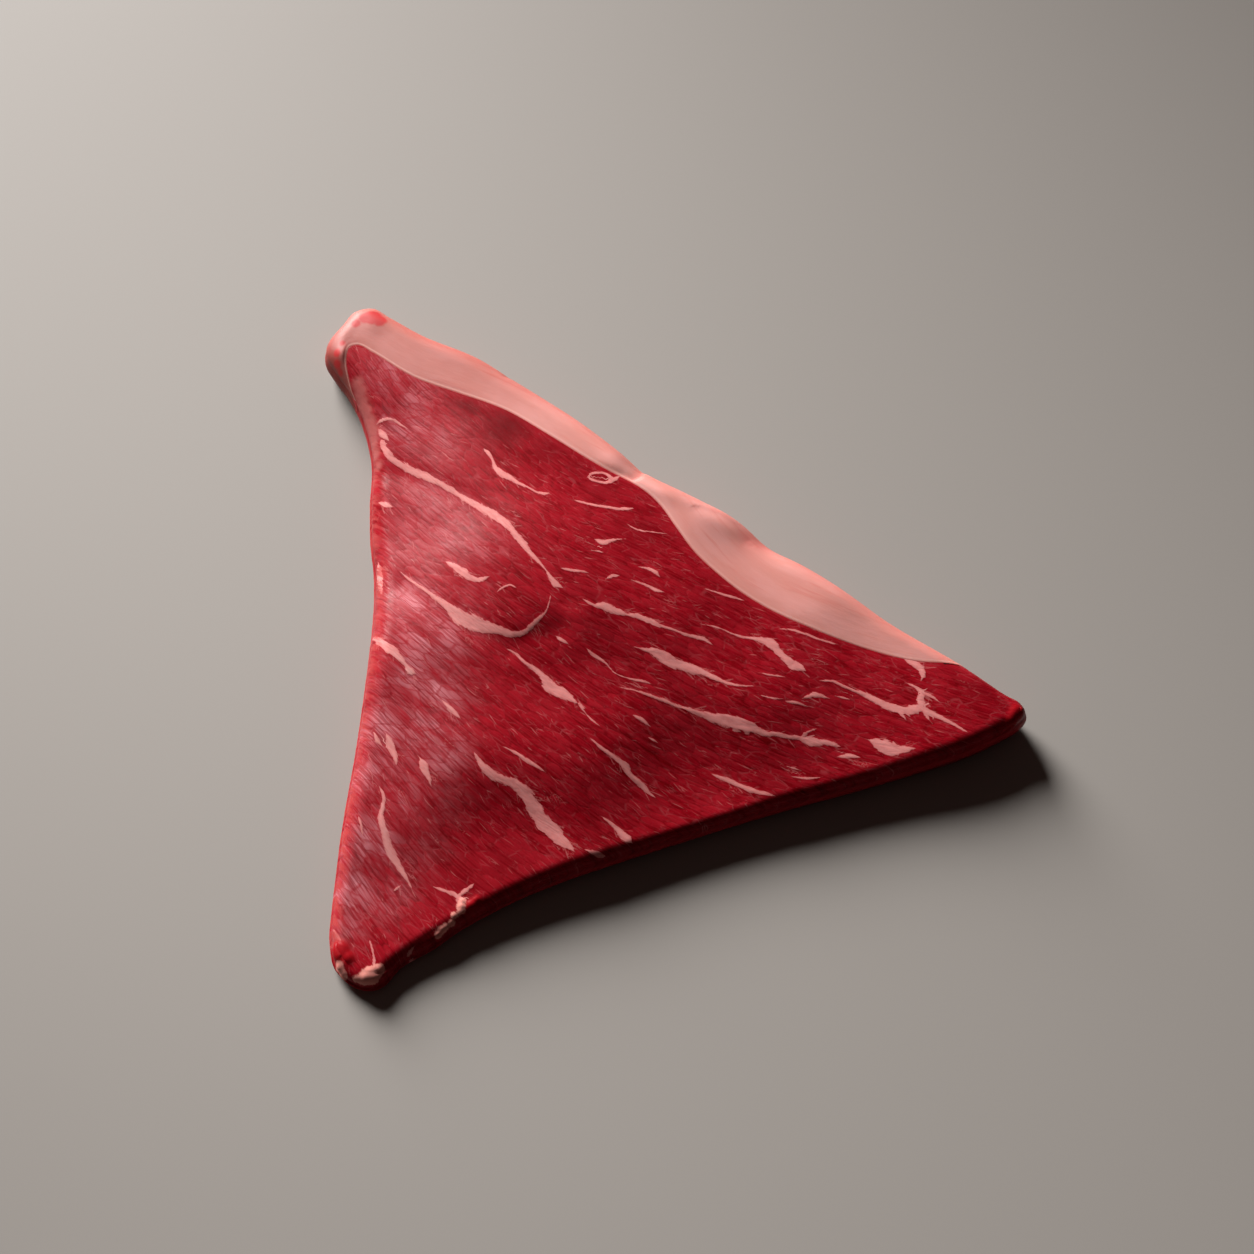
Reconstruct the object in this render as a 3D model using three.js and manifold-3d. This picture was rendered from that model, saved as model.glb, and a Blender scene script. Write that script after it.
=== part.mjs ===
// A raw tri-tip: a flat three-cornered muscle with a fat cap along its longest side.
//
// Millimetres, +Z up. The slab lies on its flat underside at z = 0, and the origin is the
// middle of its footprint. +X runs from the blunt side to the long point, and +Y from the
// foot corner to the neck corner. The fat cap is a layer through the whole thickness.
import * as THREE from "three";
import { mergeVertices } from "three/addons/utils/BufferGeometryUtils.js";
import Module from "manifold-3d";

// ---- driving dimensions, mm ----------------------------------------------------------

// The outline seen from above, counter-clockwise from the long point.
const fatSide = [
  [122.5, -38.5], // long point
  [121, -35], [116.5, -32], [101.5, -19.5], [80, -3.5], [61, 12.5], [48.5, 22],
  [38.5, 29.5], [28, 38], // step behind the shallow dent in the fat
  [15, 46], [0.5, 53.5], // notch between the two lobes of fat
  [-10, 62.5], [-30, 80.5], [-53, 98.5], [-66, 108], [-86, 117.5], [-99, 126],
];
const neckEnd = [
  [-106.5, 130], [-113.5, 128.5], [-117.5, 122.5], // pinched middle of the cut end
  [-121, 116], [-121.5, 109],
];
const bluntSide = [
  [-118.5, 102.5], [-113.5, 95], [-107.5, 83], [-103, 66], [-102.5, 48], [-101.5, 33],
  [-99, 16], [-98.5, -10], [-101, -46], [-104, -76], [-105.5, -105], [-105.5, -117],
];
const footEnd = [[-103, -124.5], [-97.5, -130.5], [-90.5, -130.5]];
const frontSide = [
  [-83, -124.5], [-69, -115], [-50, -104], [-34.5, -97], [-12, -88.7], [31.7, -73.7],
  [76.5, -60.2], [102.8, -51.4], [113.5, -46], [120, -42],
];
const longPointAt = 0; // places of the three corners in the list of outline points
const neckAt = fatSide.length + 2;
const footAt = fatSide.length + neckEnd.length + bluntSide.length + 1;

// Height of the top and radius of its rounded edge, where a landmark says: [x, y, height, radius].
const landmarks = [
  [-112, 116, 17, 6], // neck end
  [-94, 94, 19, 8], // neck
  [-104, 62, 11, 7], // blunt side, below the neck
  [-67, 58, 22.5, 8], // upper lobe
  [-101, 21, 10.5, 7], // waist
  [-76, 8, 20.5, 8],
  [-40, 14, 25.5, 8], // crown
  [-2, 10, 22.5, 8], // crown's slope towards the fat cap
  [-68, -45, 17.5, 8],
  [-105, -69, 10, 7],
  [-95, -119, 6.5, 4], // foot
  [-72, -113, 7, 4],
  [-52, -98, 10.5, 4], // front edge, crisp where the knife ran
  [-24, -42, 18, 6],
  [8, -76, 9.5, 3],
  [68, -58, 9.5, 3],
  [38, -24, 17.5, 6],
  [84, -36, 15.5, 4],
  [118, -40, 13.5, 4], // long point
  [30, 32, 15, 10], // fat cap, rolled over the far edge
  [-12, 56, 20, 10],
  [-57, 94, 18.5, 10],
  [82, -5, 13.8, 9],
];
const landmarkReach = 27; // how far a landmark's say carries
const undersideRounding = 0.2; // radius under the edge, as a share of the height there
const wallBulge = 0.9; // the sides swell this much between the two roundings

// Where the fat cap meets the lean, from the blunt side round the neck to the far edge.
const fatLine = [
  [-116, 79], [-109.5, 86], [-112, 94], [-114, 104], [-113, 109.5], [-110, 110.3],
  [-104, 106.5], [-89, 95.5], [-72, 87.5], [-55, 79.5], [-39, 68], [-22, 55.5], [-6.4, 45.6],
  [0, 39], [6, 29], [12, 19.5], [20, 11], [28.5, 3.6], [39, -3.2], [52, -9.5], [63, -13.9],
  [79.5, -19.3], [88, -21], [96, -21.5], [109, -21.5],
];
const fatProud = 0.6; // the fat stands this much above the lean
const seamGap = 0.3; // clearance kept between the two solids
const farAway = 200; // beyond the slab on every side

// Seams between muscles lie in shallow valleys: polylines on the top, with depth and half width.
const seams = [
  { line: [[-98, 58], [-70, 42], [-45, 18], [-32, -2]], depth: 0.8, reach: 5 },
  { line: [[-88, 8], [-70, -8], [-50, -18], [-34, -12]], depth: 0.8, reach: 5 },
];
// Soft dents and swellings: [x, y, radius, height], a negative height being a dent.
const swellings = [
  [-62, 18, 17, 1.2], // the muscle between the two upper seams
  [-8, 58, 7, -1.8], // notch between the lobes of fat
  [41.5, 27, 8, -2.2], // dent in the lower lobe of fat
  [16, 34, 12, 1.2],
  [60, 2, 13, 1.1],
  [20, -40, 20, 0.8],
  [-80, -82, 14, 1.0],
];
// Lumps that stand out of the side: [x, y, radius, reach outwards].
const lumps = [
  [-91, -131, 6, 1.6], // fat at the foot
  [-105, -127, 5, 1.2],
  [-73, -119, 7, 0.9],
  [-121, 112, 6, 1.0], // end of the neck
  [-106, 129, 5, 0.8],
];

// ---- mesh density ----------------------------------------------------------------------

const sideSteps = 46; // vertices along each of the three sides
const outlineSamples = 900; // fine copy of the outline, for measuring distances
const sideSamples = 400; // fine copy of one side, for spacing its vertices evenly
const fatLineSteps = 110;
const edgeInsets = [0, 1.1, 3, 6, 10.5]; // rings that follow the rounded edges
const wallRows = 3;
const lumpFade = 3; // a lump dies away this far in from the rim
const weldDistance = 1e-4;

// ---- curves ----------------------------------------------------------------------------

const outlinePoints = [...fatSide, ...neckEnd, ...bluntSide, ...footEnd, ...frontSide];
const outline = new THREE.CatmullRomCurve3(
  outlinePoints.map(([x, y]) => new THREE.Vector3(x, y, 0)), true, "centripetal",
);
const outlineFine = Array.from(
  { length: outlineSamples }, (_, i) => outline.getPoint(i / outlineSamples),
);

// Points evenly spaced by length between two places in the list of outline points.
function sideBetween(fromAt, toAt, steps) {
  const from = fromAt / outlinePoints.length;
  const to = (toAt > fromAt ? toAt : toAt + outlinePoints.length) / outlinePoints.length;
  const points = Array.from(
    { length: sideSamples + 1 },
    (_, i) => outline.getPoint((from + ((to - from) * i) / sideSamples) % 1),
  );
  const lengths = [0];
  for (let i = 1; i <= sideSamples; i++) {
    lengths.push(lengths[i - 1] + points[i].distanceTo(points[i - 1]));
  }
  const side = [];
  let at = 1;
  for (let step = 0; step <= steps; step++) {
    const wanted = (lengths[sideSamples] * step) / steps;
    while (at < sideSamples && lengths[at] < wanted) at++;
    const share = (wanted - lengths[at - 1]) / (lengths[at] - lengths[at - 1]);
    side.push(points[at - 1].clone().lerp(points[at], share));
  }
  return side;
}

function distanceToLine(x, y, line, closed) {
  let nearest = Infinity;
  const count = closed ? line.length : line.length - 1;
  for (let i = 0; i < count; i++) {
    const a = line[i];
    const b = line[(i + 1) % line.length];
    const dx = b.x - a.x;
    const dy = b.y - a.y;
    const along = THREE.MathUtils.clamp(
      ((x - a.x) * dx + (y - a.y) * dy) / (dx * dx + dy * dy), 0, 1,
    );
    nearest = Math.min(nearest, Math.hypot(x - a.x - along * dx, y - a.y - along * dy));
  }
  return nearest;
}

// ---- heights ---------------------------------------------------------------------------

const bell = (distance, radius) => Math.exp(-((distance / radius) ** 2));

// Height and edge radius at a place, blended from the landmarks round it.
function blendLandmarks(x, y) {
  let weights = 0;
  let height = 0;
  let radius = 0;
  for (const [lx, ly, h, r] of landmarks) {
    const weight = bell(Math.hypot(x - lx, y - ly), landmarkReach);
    weights += weight;
    height += weight * h;
    radius += weight * r;
  }
  return { height: height / weights, radius: radius / weights };
}

const seamLines = seams.map((seam) => ({
  ...seam, line: seam.line.map(([x, y]) => new THREE.Vector2(x, y)),
}));

function relief(x, y) {
  let z = 0;
  for (const { line, depth, reach } of seamLines) {
    z -= depth * bell(distanceToLine(x, y, line, false), reach);
  }
  for (const [sx, sy, radius, height] of swellings) {
    z += height * bell(Math.hypot(x - sx, y - sy), radius);
  }
  return z;
}

// A quarter round of the given radius: how far it has dropped at a distance from the edge.
function roundingDrop(distance, radius) {
  const share = Math.max(0, 1 - distance / radius);
  return radius * (1 - Math.sqrt(1 - share * share));
}

function topHeight(x, y) {
  const { height, radius } = blendLandmarks(x, y);
  const edge = distanceToLine(x, y, outlineFine, true);
  return height + relief(x, y) - roundingDrop(edge, radius);
}

const undersideRadius = (x, y) => undersideRounding * blendLandmarks(x, y).height;

function undersideHeight(x, y) {
  return roundingDrop(distanceToLine(x, y, outlineFine, true), undersideRadius(x, y));
}

// ---- the whole slab as one closed mesh ------------------------------------------------

const rim = [
  ...sideBetween(longPointAt, neckAt, sideSteps).slice(0, -1),
  ...sideBetween(neckAt, footAt, sideSteps).slice(0, -1),
  ...sideBetween(footAt, longPointAt, sideSteps).slice(0, -1),
];
const rimCount = rim.length;
const middle = rim.reduce((sum, p) => sum.add(p), new THREE.Vector3()).divideScalar(rimCount);

const inward = (point, inset) =>
  point.clone().lerp(middle, inset / point.distanceTo(middle));

function outwardAt(i) {
  const before = rim[(i + rimCount - 1) % rimCount];
  const after = rim[(i + 1) % rimCount];
  return new THREE.Vector3(after.y - before.y, before.x - after.x, 0).normalize();
}

function lumpAt(point) {
  let out = 0;
  for (const [x, y, radius, reach] of lumps) {
    out += reach * bell(Math.hypot(point.x - x, point.y - y), radius);
  }
  return out;
}

// A triangular grid stretched over three curved sides that meet at the corners.
// Returns rows of points: row r has steps + 1 - r of them, and row 0 is the first side.
function gridOverSides(first, second, third) {
  const steps = first.length - 1;
  const rows = [];
  for (let r = 0; r <= steps; r++) {
    const row = [];
    for (let c = 0; c <= steps - r; c++) {
      const b = c; // steps towards the first side's far corner
      const t = r; // steps towards the corner opposite the first side
      const a = steps - b - t;
      const part = (weight, p, q, corner) =>
        p.clone().add(q).sub(corner).multiplyScalar(weight / steps);
      row.push(
        part(a, first[b], third[steps - t], first[0])
          .add(part(b, second[t], first[steps - a], second[0]))
          .add(part(t, third[a], second[steps - b], third[0])),
      );
    }
    rows.push(row);
  }
  return rows;
}

function wholeSlab(proud) {
  const vertices = [];
  const faces = [];
  const add = (x, y, z) => vertices.push([x, y, z]) - 1;
  const quad = (a, b, c, d) => faces.push([a, b, c], [a, c, d]);
  const top = (p) => topHeight(p.x, p.y) + proud;
  const join = (lower, upper) => {
    for (let i = 0; i < rimCount; i++) {
      const next = (i + 1) % rimCount;
      quad(lower[i], lower[next], upper[next], upper[i]);
    }
  };

  // Underside: rings of the lower rounding, then one flat face on the board.
  const underInsets = edgeInsets.slice(0, -1).reverse();
  const underRings = underInsets.map((inset) =>
    rim.map((p, i) => {
      const q = inward(p, inset);
      const z = inset === underInsets[0] ? 0 : undersideHeight(q.x, q.y);
      q.addScaledVector(outwardAt(i), lumpAt(p) * bell(inset, lumpFade));
      return add(q.x, q.y, z);
    }),
  );
  const flat = underRings[0];
  const flatShape = flat.map((v) => new THREE.Vector2(vertices[v][0], vertices[v][1]));
  for (const [a, b, c] of THREE.ShapeUtils.triangulateShape(flatShape, [])) {
    faces.push([flat[c], flat[b], flat[a]]);
  }

  // Sides, swelling between the lower and the upper rounding.
  const wallRings = Array.from({ length: wallRows }, (_, row) => {
    const share = (row + 1) / (wallRows + 1);
    return rim.map((p, i) => {
      const swell = wallBulge * Math.sin(Math.PI * share) + lumpAt(p);
      const q = p.clone().addScaledVector(outwardAt(i), swell);
      return add(q.x, q.y, THREE.MathUtils.lerp(undersideRadius(p.x, p.y), top(p), share));
    });
  });

  // Top: rings of the upper rounding, then a triangular grid over the rest.
  const topRings = edgeInsets.map((inset) =>
    rim.map((p, i) => {
      const q = inward(p, inset);
      const z = top(q);
      q.addScaledVector(outwardAt(i), lumpAt(p) * bell(inset, lumpFade));
      return add(q.x, q.y, z);
    }),
  );
  const rings = [...underRings, ...wallRings, ...topRings];
  for (let i = 1; i < rings.length; i++) join(rings[i - 1], rings[i]);

  const inner = rings.at(-1);
  const innerPoint = (i) => {
    const [x, y, z] = vertices[inner[i % rimCount]];
    return new THREE.Vector3(x, y, z);
  };
  const innerSide = (start) =>
    Array.from({ length: sideSteps + 1 }, (_, i) => innerPoint(start + i));
  const grid = gridOverSides(innerSide(0), innerSide(sideSteps), innerSide(2 * sideSteps));
  const ids = grid.map((row, r) =>
    row.map((p, c) => {
      if (r === 0) return inner[c];
      if (c === row.length - 1) return inner[sideSteps + r];
      if (c === 0) return inner[rimCount - r];
      return add(p.x, p.y, top(p));
    }),
  );
  for (let r = 0; r < sideSteps; r++) {
    for (let c = 0; c < sideSteps - r; c++) {
      faces.push([ids[r][c], ids[r][c + 1], ids[r + 1][c]]);
      if (c > 0) faces.push([ids[r][c], ids[r + 1][c], ids[r + 1][c - 1]]);
    }
  }
  return { vertices, faces };
}

// ---- cutting the fat cap from the lean -------------------------------------------------

const wasm = await Module();
wasm.setup();

function solidFromMesh({ vertices, faces }) {
  return new wasm.Manifold(new wasm.Mesh({
    numProp: 3,
    vertProperties: new Float32Array(vertices.flat()),
    triVerts: new Uint32Array(faces.flat()),
  }));
}

function solidFromGeometry(geometry) {
  const bare = geometry.index ? geometry.toNonIndexed() : geometry.clone();
  bare.deleteAttribute("normal");
  bare.deleteAttribute("uv");
  const merged = mergeVertices(bare, weldDistance);
  return new wasm.Manifold(new wasm.Mesh({
    numProp: 3,
    vertProperties: merged.attributes.position.array,
    triVerts: new Uint32Array(merged.index.array),
  }));
}

// A tall block of everything beyond the fat line, moved outwards by the given gap.
function beyondFatLine(gap) {
  const curve = new THREE.CatmullRomCurve3(
    fatLine.map(([x, y]) => new THREE.Vector3(x, y, 0)), false, "centripetal",
  );
  const line = Array.from({ length: fatLineSteps + 1 }, (_, i) => {
    const along = curve.getTangent(i / fatLineSteps);
    const outwards = new THREE.Vector3(-along.y, along.x, 0);
    return curve.getPoint(i / fatLineSteps).addScaledVector(outwards, gap);
  });
  const shape = new THREE.Shape([
    ...line.map((p) => new THREE.Vector2(p.x, p.y)),
    new THREE.Vector2(farAway, line.at(-1).y),
    new THREE.Vector2(farAway, farAway),
    new THREE.Vector2(-farAway, farAway),
    new THREE.Vector2(-farAway, line[0].y),
  ]);
  const block = new THREE.ExtrudeGeometry(shape, { depth: 2 * farAway, bevelEnabled: false });
  return solidFromGeometry(block.translate(0, 0, -farAway));
}

function geometryFromSolid(solid) {
  const mesh = solid.getMesh();
  const geometry = new THREE.BufferGeometry();
  geometry.setAttribute("position", new THREE.BufferAttribute(mesh.vertProperties, 3));
  geometry.setIndex(new THREE.BufferAttribute(mesh.triVerts, 1));
  geometry.computeVertexNormals();
  return geometry;
}

const leanGeometry = geometryFromSolid(
  solidFromMesh(wholeSlab(0)).subtract(beyondFatLine(0)),
);
const fatGeometry = geometryFromSolid(
  solidFromMesh(wholeSlab(fatProud)).intersect(beyondFatLine(seamGap)),
);

// ---- the scene graph -------------------------------------------------------------------

const lean = new THREE.Mesh(leanGeometry, new THREE.MeshStandardMaterial({
  color: new THREE.Color(0.42, 0.035, 0.05), roughness: 0.38, metalness: 0,
}));
lean.name = "lean";

const fatCap = new THREE.Mesh(fatGeometry, new THREE.MeshStandardMaterial({
  color: new THREE.Color(0.78, 0.43, 0.37), roughness: 0.42, metalness: 0,
}));
fatCap.name = "fat_cap";

const triTip = new THREE.Group();
triTip.add(lean, fatCap);

// The group is moved to put the exact middle of the footprint at the origin.
const centre = new THREE.Box3().setFromObject(triTip).getCenter(new THREE.Vector3());
triTip.position.set(-centre.x, -centre.y, 0);

export default triTip;
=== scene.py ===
import math

import bpy
import numpy as np
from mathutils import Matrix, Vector, kdtree


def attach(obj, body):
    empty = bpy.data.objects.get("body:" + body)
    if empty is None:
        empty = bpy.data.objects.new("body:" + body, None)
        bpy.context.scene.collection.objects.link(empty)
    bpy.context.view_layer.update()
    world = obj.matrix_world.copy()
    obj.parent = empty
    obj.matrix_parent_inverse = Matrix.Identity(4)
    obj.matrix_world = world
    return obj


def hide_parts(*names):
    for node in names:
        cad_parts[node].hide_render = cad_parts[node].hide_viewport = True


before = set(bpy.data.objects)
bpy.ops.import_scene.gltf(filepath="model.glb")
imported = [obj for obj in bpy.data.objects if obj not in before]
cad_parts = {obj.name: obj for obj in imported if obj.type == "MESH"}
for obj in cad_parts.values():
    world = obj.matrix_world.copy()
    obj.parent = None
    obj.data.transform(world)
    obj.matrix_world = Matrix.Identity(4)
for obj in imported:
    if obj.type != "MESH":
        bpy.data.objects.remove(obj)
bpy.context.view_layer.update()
mm = 0.001

# the slab seen from above, mm, anticlockwise from the long point, as in the solids
slab = {
    "fatSide": [
        (122.5, -38.5), (121, -35), (116.5, -32), (101.5, -19.5), (80, -3.5), (61, 12.5),
        (48.5, 22), (38.5, 29.5), (28, 38), (15, 46), (0.5, 53.5), (-10, 62.5), (-30, 80.5),
        (-53, 98.5), (-66, 108), (-86, 117.5), (-99, 126),
    ],
    "neckEnd": [(-106.5, 130), (-113.5, 128.5), (-117.5, 122.5), (-121, 116), (-121.5, 109)],
    "bluntSide": [
        (-118.5, 102.5), (-113.5, 95), (-107.5, 83), (-103, 66), (-102.5, 48), (-101.5, 33),
        (-99, 16), (-98.5, -10), (-101, -46), (-104, -76), (-105.5, -105), (-105.5, -117),
    ],
    "footEnd": [(-103, -124.5), (-97.5, -130.5), (-90.5, -130.5)],
    "frontSide": [
        (-83, -124.5), (-69, -115), (-50, -104), (-34.5, -97), (-12, -88.7), (31.7, -73.7),
        (76.5, -60.2), (102.8, -51.4), (113.5, -46), (120, -42),
    ],
    # where the fat meets the lean, from the blunt side round the neck to the far edge
    "fatLine": [
        (-116, 79), (-109.5, 86), (-112, 94), (-114, 104), (-113, 109.5), (-110, 110.3),
        (-104, 106.5), (-89, 95.5), (-72, 87.5), (-55, 79.5), (-39, 68), (-22, 55.5),
        (-6.4, 45.6), (0, 39), (6, 29), (12, 19.5), (20, 11), (28.5, 3.6), (39, -3.2),
        (52, -9.5), (63, -13.9), (79.5, -19.3), (88, -21), (96, -21.5), (109, -21.5),
    ],
    "neckTip": 4,  # the fat line's point at the lean's own tip
    "fineSteps": 24,  # between two points
    "middle": (0.08, 0.86),  # from the slab's own zero to the middle of its footprint
}

form = {
    # x, y, height of the top, radius of its edge
    "landmarks": [
        (-112, 116, 17, 6), (-94, 94, 19, 8), (-104, 62, 11, 7), (-67, 58, 22.5, 8),
        (-101, 21, 10.5, 7), (-76, 8, 20.5, 8), (-40, 14, 25.5, 8), (-2, 10, 22.5, 8),
        (-68, -45, 17.5, 8), (-105, -69, 10, 7), (-95, -119, 6.5, 4), (-72, -113, 7, 4), (-52, -98, 10.5, 4),
        (-24, -42, 18, 6), (8, -76, 9.5, 3), (68, -58, 9.5, 3), (38, -24, 17.5, 6),
        (84, -36, 15.5, 4), (118, -40, 13.5, 4), (30, 32, 15, 10), (-12, 56, 20, 10),
        (-57, 94, 18.5, 10), (82, -5, 13.8, 9),
    ],
    "landmarkReach": 27,
    "undersideRounding": 0.2,  # of the height above it
    "wallBulge": 0.9,  # mm
    # line, depth and half width of each valley between muscles
    "valleys": [
        ([(-98, 58), (-70, 42), (-45, 18), (-32, -2)], 0.8, 5),
        ([(-88, 8), (-70, -8), (-50, -18), (-34, -12)], 0.8, 5),
    ],
    # x, y, radius, height
    "swellings": [
        (-62, 18, 17, 1.2), (-8, 58, 7, -1.8), (41.5, 27, 8, -2.2), (16, 34, 12, 1.2),
        (60, 2, 13, 1.1), (20, -40, 20, 0.8), (-80, -82, 14, 1.0),
    ],
    # x, y, radius, reach out of the side
    "lumps": [
        (-91, -131, 6, 1.6), (-105, -127, 5, 1.2), (-73, -119, 7, 0.9), (-121, 112, 6, 1.0),
        (-106, 129, 5, 0.8),
    ],
    "lumpFade": 3,
    "valleySamples": 60,
}


def spline(points, closed, steps):
    # centripetal curve through the points, so many steps from each to the next
    p = np.array(points, float)
    spans = len(p) if closed else len(p) - 1
    padded = p if closed else np.vstack([2 * p[0] - p[1], p, 2 * p[-1] - p[-2]])
    shift = 0 if closed else 1
    s = np.arange(steps)[:, None] / steps
    curve = []
    for i in range(spans):
        a, b, c, d = (padded[(i + k + shift) % len(padded)] for k in (-1, 0, 1, 2))
        ta, tb, tc = (np.sqrt(np.linalg.norm(far - near)) for near, far in ((a, b), (b, c), (c, d)))
        slopeB = ((b - a) / ta - (c - a) / (ta + tb) + (c - b) / tb) * tb
        slopeC = ((c - b) / tb - (d - b) / (tb + tc) + (d - c) / tc) * tb
        square = 3 * (c - b) - 2 * slopeB - slopeC
        cube = 2 * (b - c) + slopeB + slopeC
        curve.append(b + slopeB * s + square * s**2 + cube * s**3)
    if not closed:
        curve.append(p[-1:])
    return np.vstack(curve)


def lengthAlong(line):
    return np.r_[0, np.cumsum(np.linalg.norm(np.diff(line, axis=0), axis=1))]


def atLengths(line, wanted):
    along = lengthAlong(line)
    return np.stack([np.interp(wanted, along, line[:, k]) for k in range(line.shape[1])], 1)


def evenly(line, count):
    return atLengths(line, np.linspace(0, lengthAlong(line)[-1], count + 1))


def nearest(samples, points):
    # number of the sample nearest to each point, both in plan
    tree = kdtree.KDTree(len(samples))
    for i, (x, y) in enumerate(samples):
        tree.insert((x, y, 0), i)
    tree.balance()
    return np.array([tree.find((x, y, 0))[1] for x, y in points])


def awayFrom(line, points):
    # distance in plan to a fine line
    near = nearest(line, points)
    best = np.full(len(points), np.inf)
    for low in (near - 1, near):
        a = line[np.clip(low, 0, len(line) - 2)]
        ab = line[np.clip(low, 0, len(line) - 2) + 1] - a
        t = ((points - a) * ab).sum(1) / (ab**2).sum(1)
        off = points - a - np.clip(t, 0, 1)[:, None] * ab
        best = np.minimum(best, np.hypot(off[:, 0], off[:, 1]))
    return best


def inside(points, ring):
    x, y = points[:, :1], points[:, 1:]
    x0, y0 = ring[:, 0], ring[:, 1]
    x1, y1 = np.roll(x0, -1), np.roll(y0, -1)
    crosses = (y0 > y) != (y1 > y)
    at = x0 + (y - y0) * (x1 - x0) / np.where(y1 == y0, 1, y1 - y0)
    return (crosses & (x < at)).sum(1) % 2 == 1


def bell(distance, radius):
    return np.exp(-((distance / radius) ** 2))


def spot(points, x, y, radius):
    # 1 at a place in plan, falling off over the radius
    return bell(np.hypot(points[:, 0] - x, points[:, 1] - y), radius)


def ease(value, low, high):
    t = np.clip((value - low) / (high - low), 0, 1)
    return t * t * (3 - 2 * t)


outlinePoints = slab["fatSide"] + slab["neckEnd"] + slab["bluntSide"] + slab["footEnd"] + slab["frontSide"]
outline = spline(outlinePoints, True, slab["fineSteps"])
outlineLoop = np.vstack([outline, outline[:1]])
fatLine = spline(slab["fatLine"], False, slab["fineSteps"])
footAt = outlinePoints.index(slab["footEnd"][0]) * slab["fineSteps"]
tipAt = slab["neckTip"] * slab["fineSteps"]
onMeat = np.flatnonzero(inside(fatLine, outline))
fatFrom, fatTo = onMeat[0], onMeat[-1]
bluntAt, farAt = nearest(outline, fatLine[[fatFrom, fatTo]])


def edgeDistance(points):
    return awayFrom(outlineLoop, points)


def landmarkBlend(points):
    marks = np.array(form["landmarks"], float)
    far = np.linalg.norm(points[:, None] - marks[None, :, :2], axis=2)
    weight = bell(far, form["landmarkReach"])
    return (weight @ marks[:, 2:] / weight.sum(1)[:, None]).T


def relief(points):
    z = np.zeros(len(points))
    for line, depth, reach in form["valleys"]:
        z -= depth * bell(awayFrom(evenly(np.array(line, float), form["valleySamples"]), points), reach)
    for x, y, radius, height in form["swellings"]:
        z += height * spot(points, x, y, radius)
    return z


def drop(distance, radius):
    share = np.clip(1 - distance / radius, 0, 1)
    return radius * (1 - np.sqrt(1 - share**2))


def topHeight(points):
    height, radius = landmarkBlend(points)
    return height + relief(points) - drop(edgeDistance(points), radius)


def undersideRadius(points):
    return form["undersideRounding"] * landmarkBlend(points)[0]


def undersideHeight(points):
    return drop(edgeDistance(points), undersideRadius(points))


def lumpReach(points):
    out = np.zeros(len(points))
    for x, y, radius, reach in form["lumps"]:
        out += reach * spot(points, x, y, radius)
    return out


def outwards(line, closed=True):
    along = np.roll(line, -1, 0) - np.roll(line, 1, 0) if closed else np.gradient(line, axis=0)
    return np.stack([along[:, 1], -along[:, 0]], 1) / np.linalg.norm(along, axis=1)[:, None]


print("outline and heights ready")

# the camera comes first: what is read off the picture is placed through it
view = {
    "elevation": 60,  # degrees above the ground
    "lens": 60,
    "sensor": 36,
    "distance": 729.4,  # mm, to the ground at the middle of the picture
    "target": (-11.1, 1.6),
    "picture": 1254,  # pixels
    "rounds": 8,  # in which a ray finds the top of the slab
    "firstHeight": 20.0,  # mm, where it starts looking
    "close": 2.5,  # pixels within which a point counts as the one shown
    "closer": 0.5,  # or this much past the nearest one
}
tilt = math.radians(view["elevation"])
forward = np.array([0, math.cos(tilt), -math.sin(tilt)])
upward = np.array([0, math.sin(tilt), math.cos(tilt)])
eye = np.array([*view["target"], 0]) - forward * view["distance"]
focal = view["lens"] / view["sensor"] * view["picture"]


def addCamera():
    data = bpy.data.cameras.new("camera")
    data.lens = view["lens"]
    data.sensor_width = view["sensor"]
    data.clip_start = 0.01
    camera = bpy.data.objects.new("camera", data)
    camera.location = eye * mm
    camera.rotation_euler = (math.radians(90 - view["elevation"]), 0, 0)
    bpy.context.scene.collection.objects.link(camera)
    bpy.context.scene.camera = camera


def throughPixels(pixels):
    # plan points, mm, of the top of the slab that the pixels show
    p = np.atleast_2d(np.array(pixels, float))
    right = (p[:, :1] - view["picture"] / 2) / focal
    up = (view["picture"] / 2 - p[:, 1:2]) / focal
    ray = right * np.array([1, 0, 0]) + up * upward + forward
    z = np.full(len(p), view["firstHeight"])
    for _ in range(view["rounds"]):
        plan = (eye + ray * ((z - eye[2]) / ray[:, 2])[:, None])[:, :2] - slab["middle"]
        z = topHeight(plan)
    return plan


addCamera()

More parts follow.
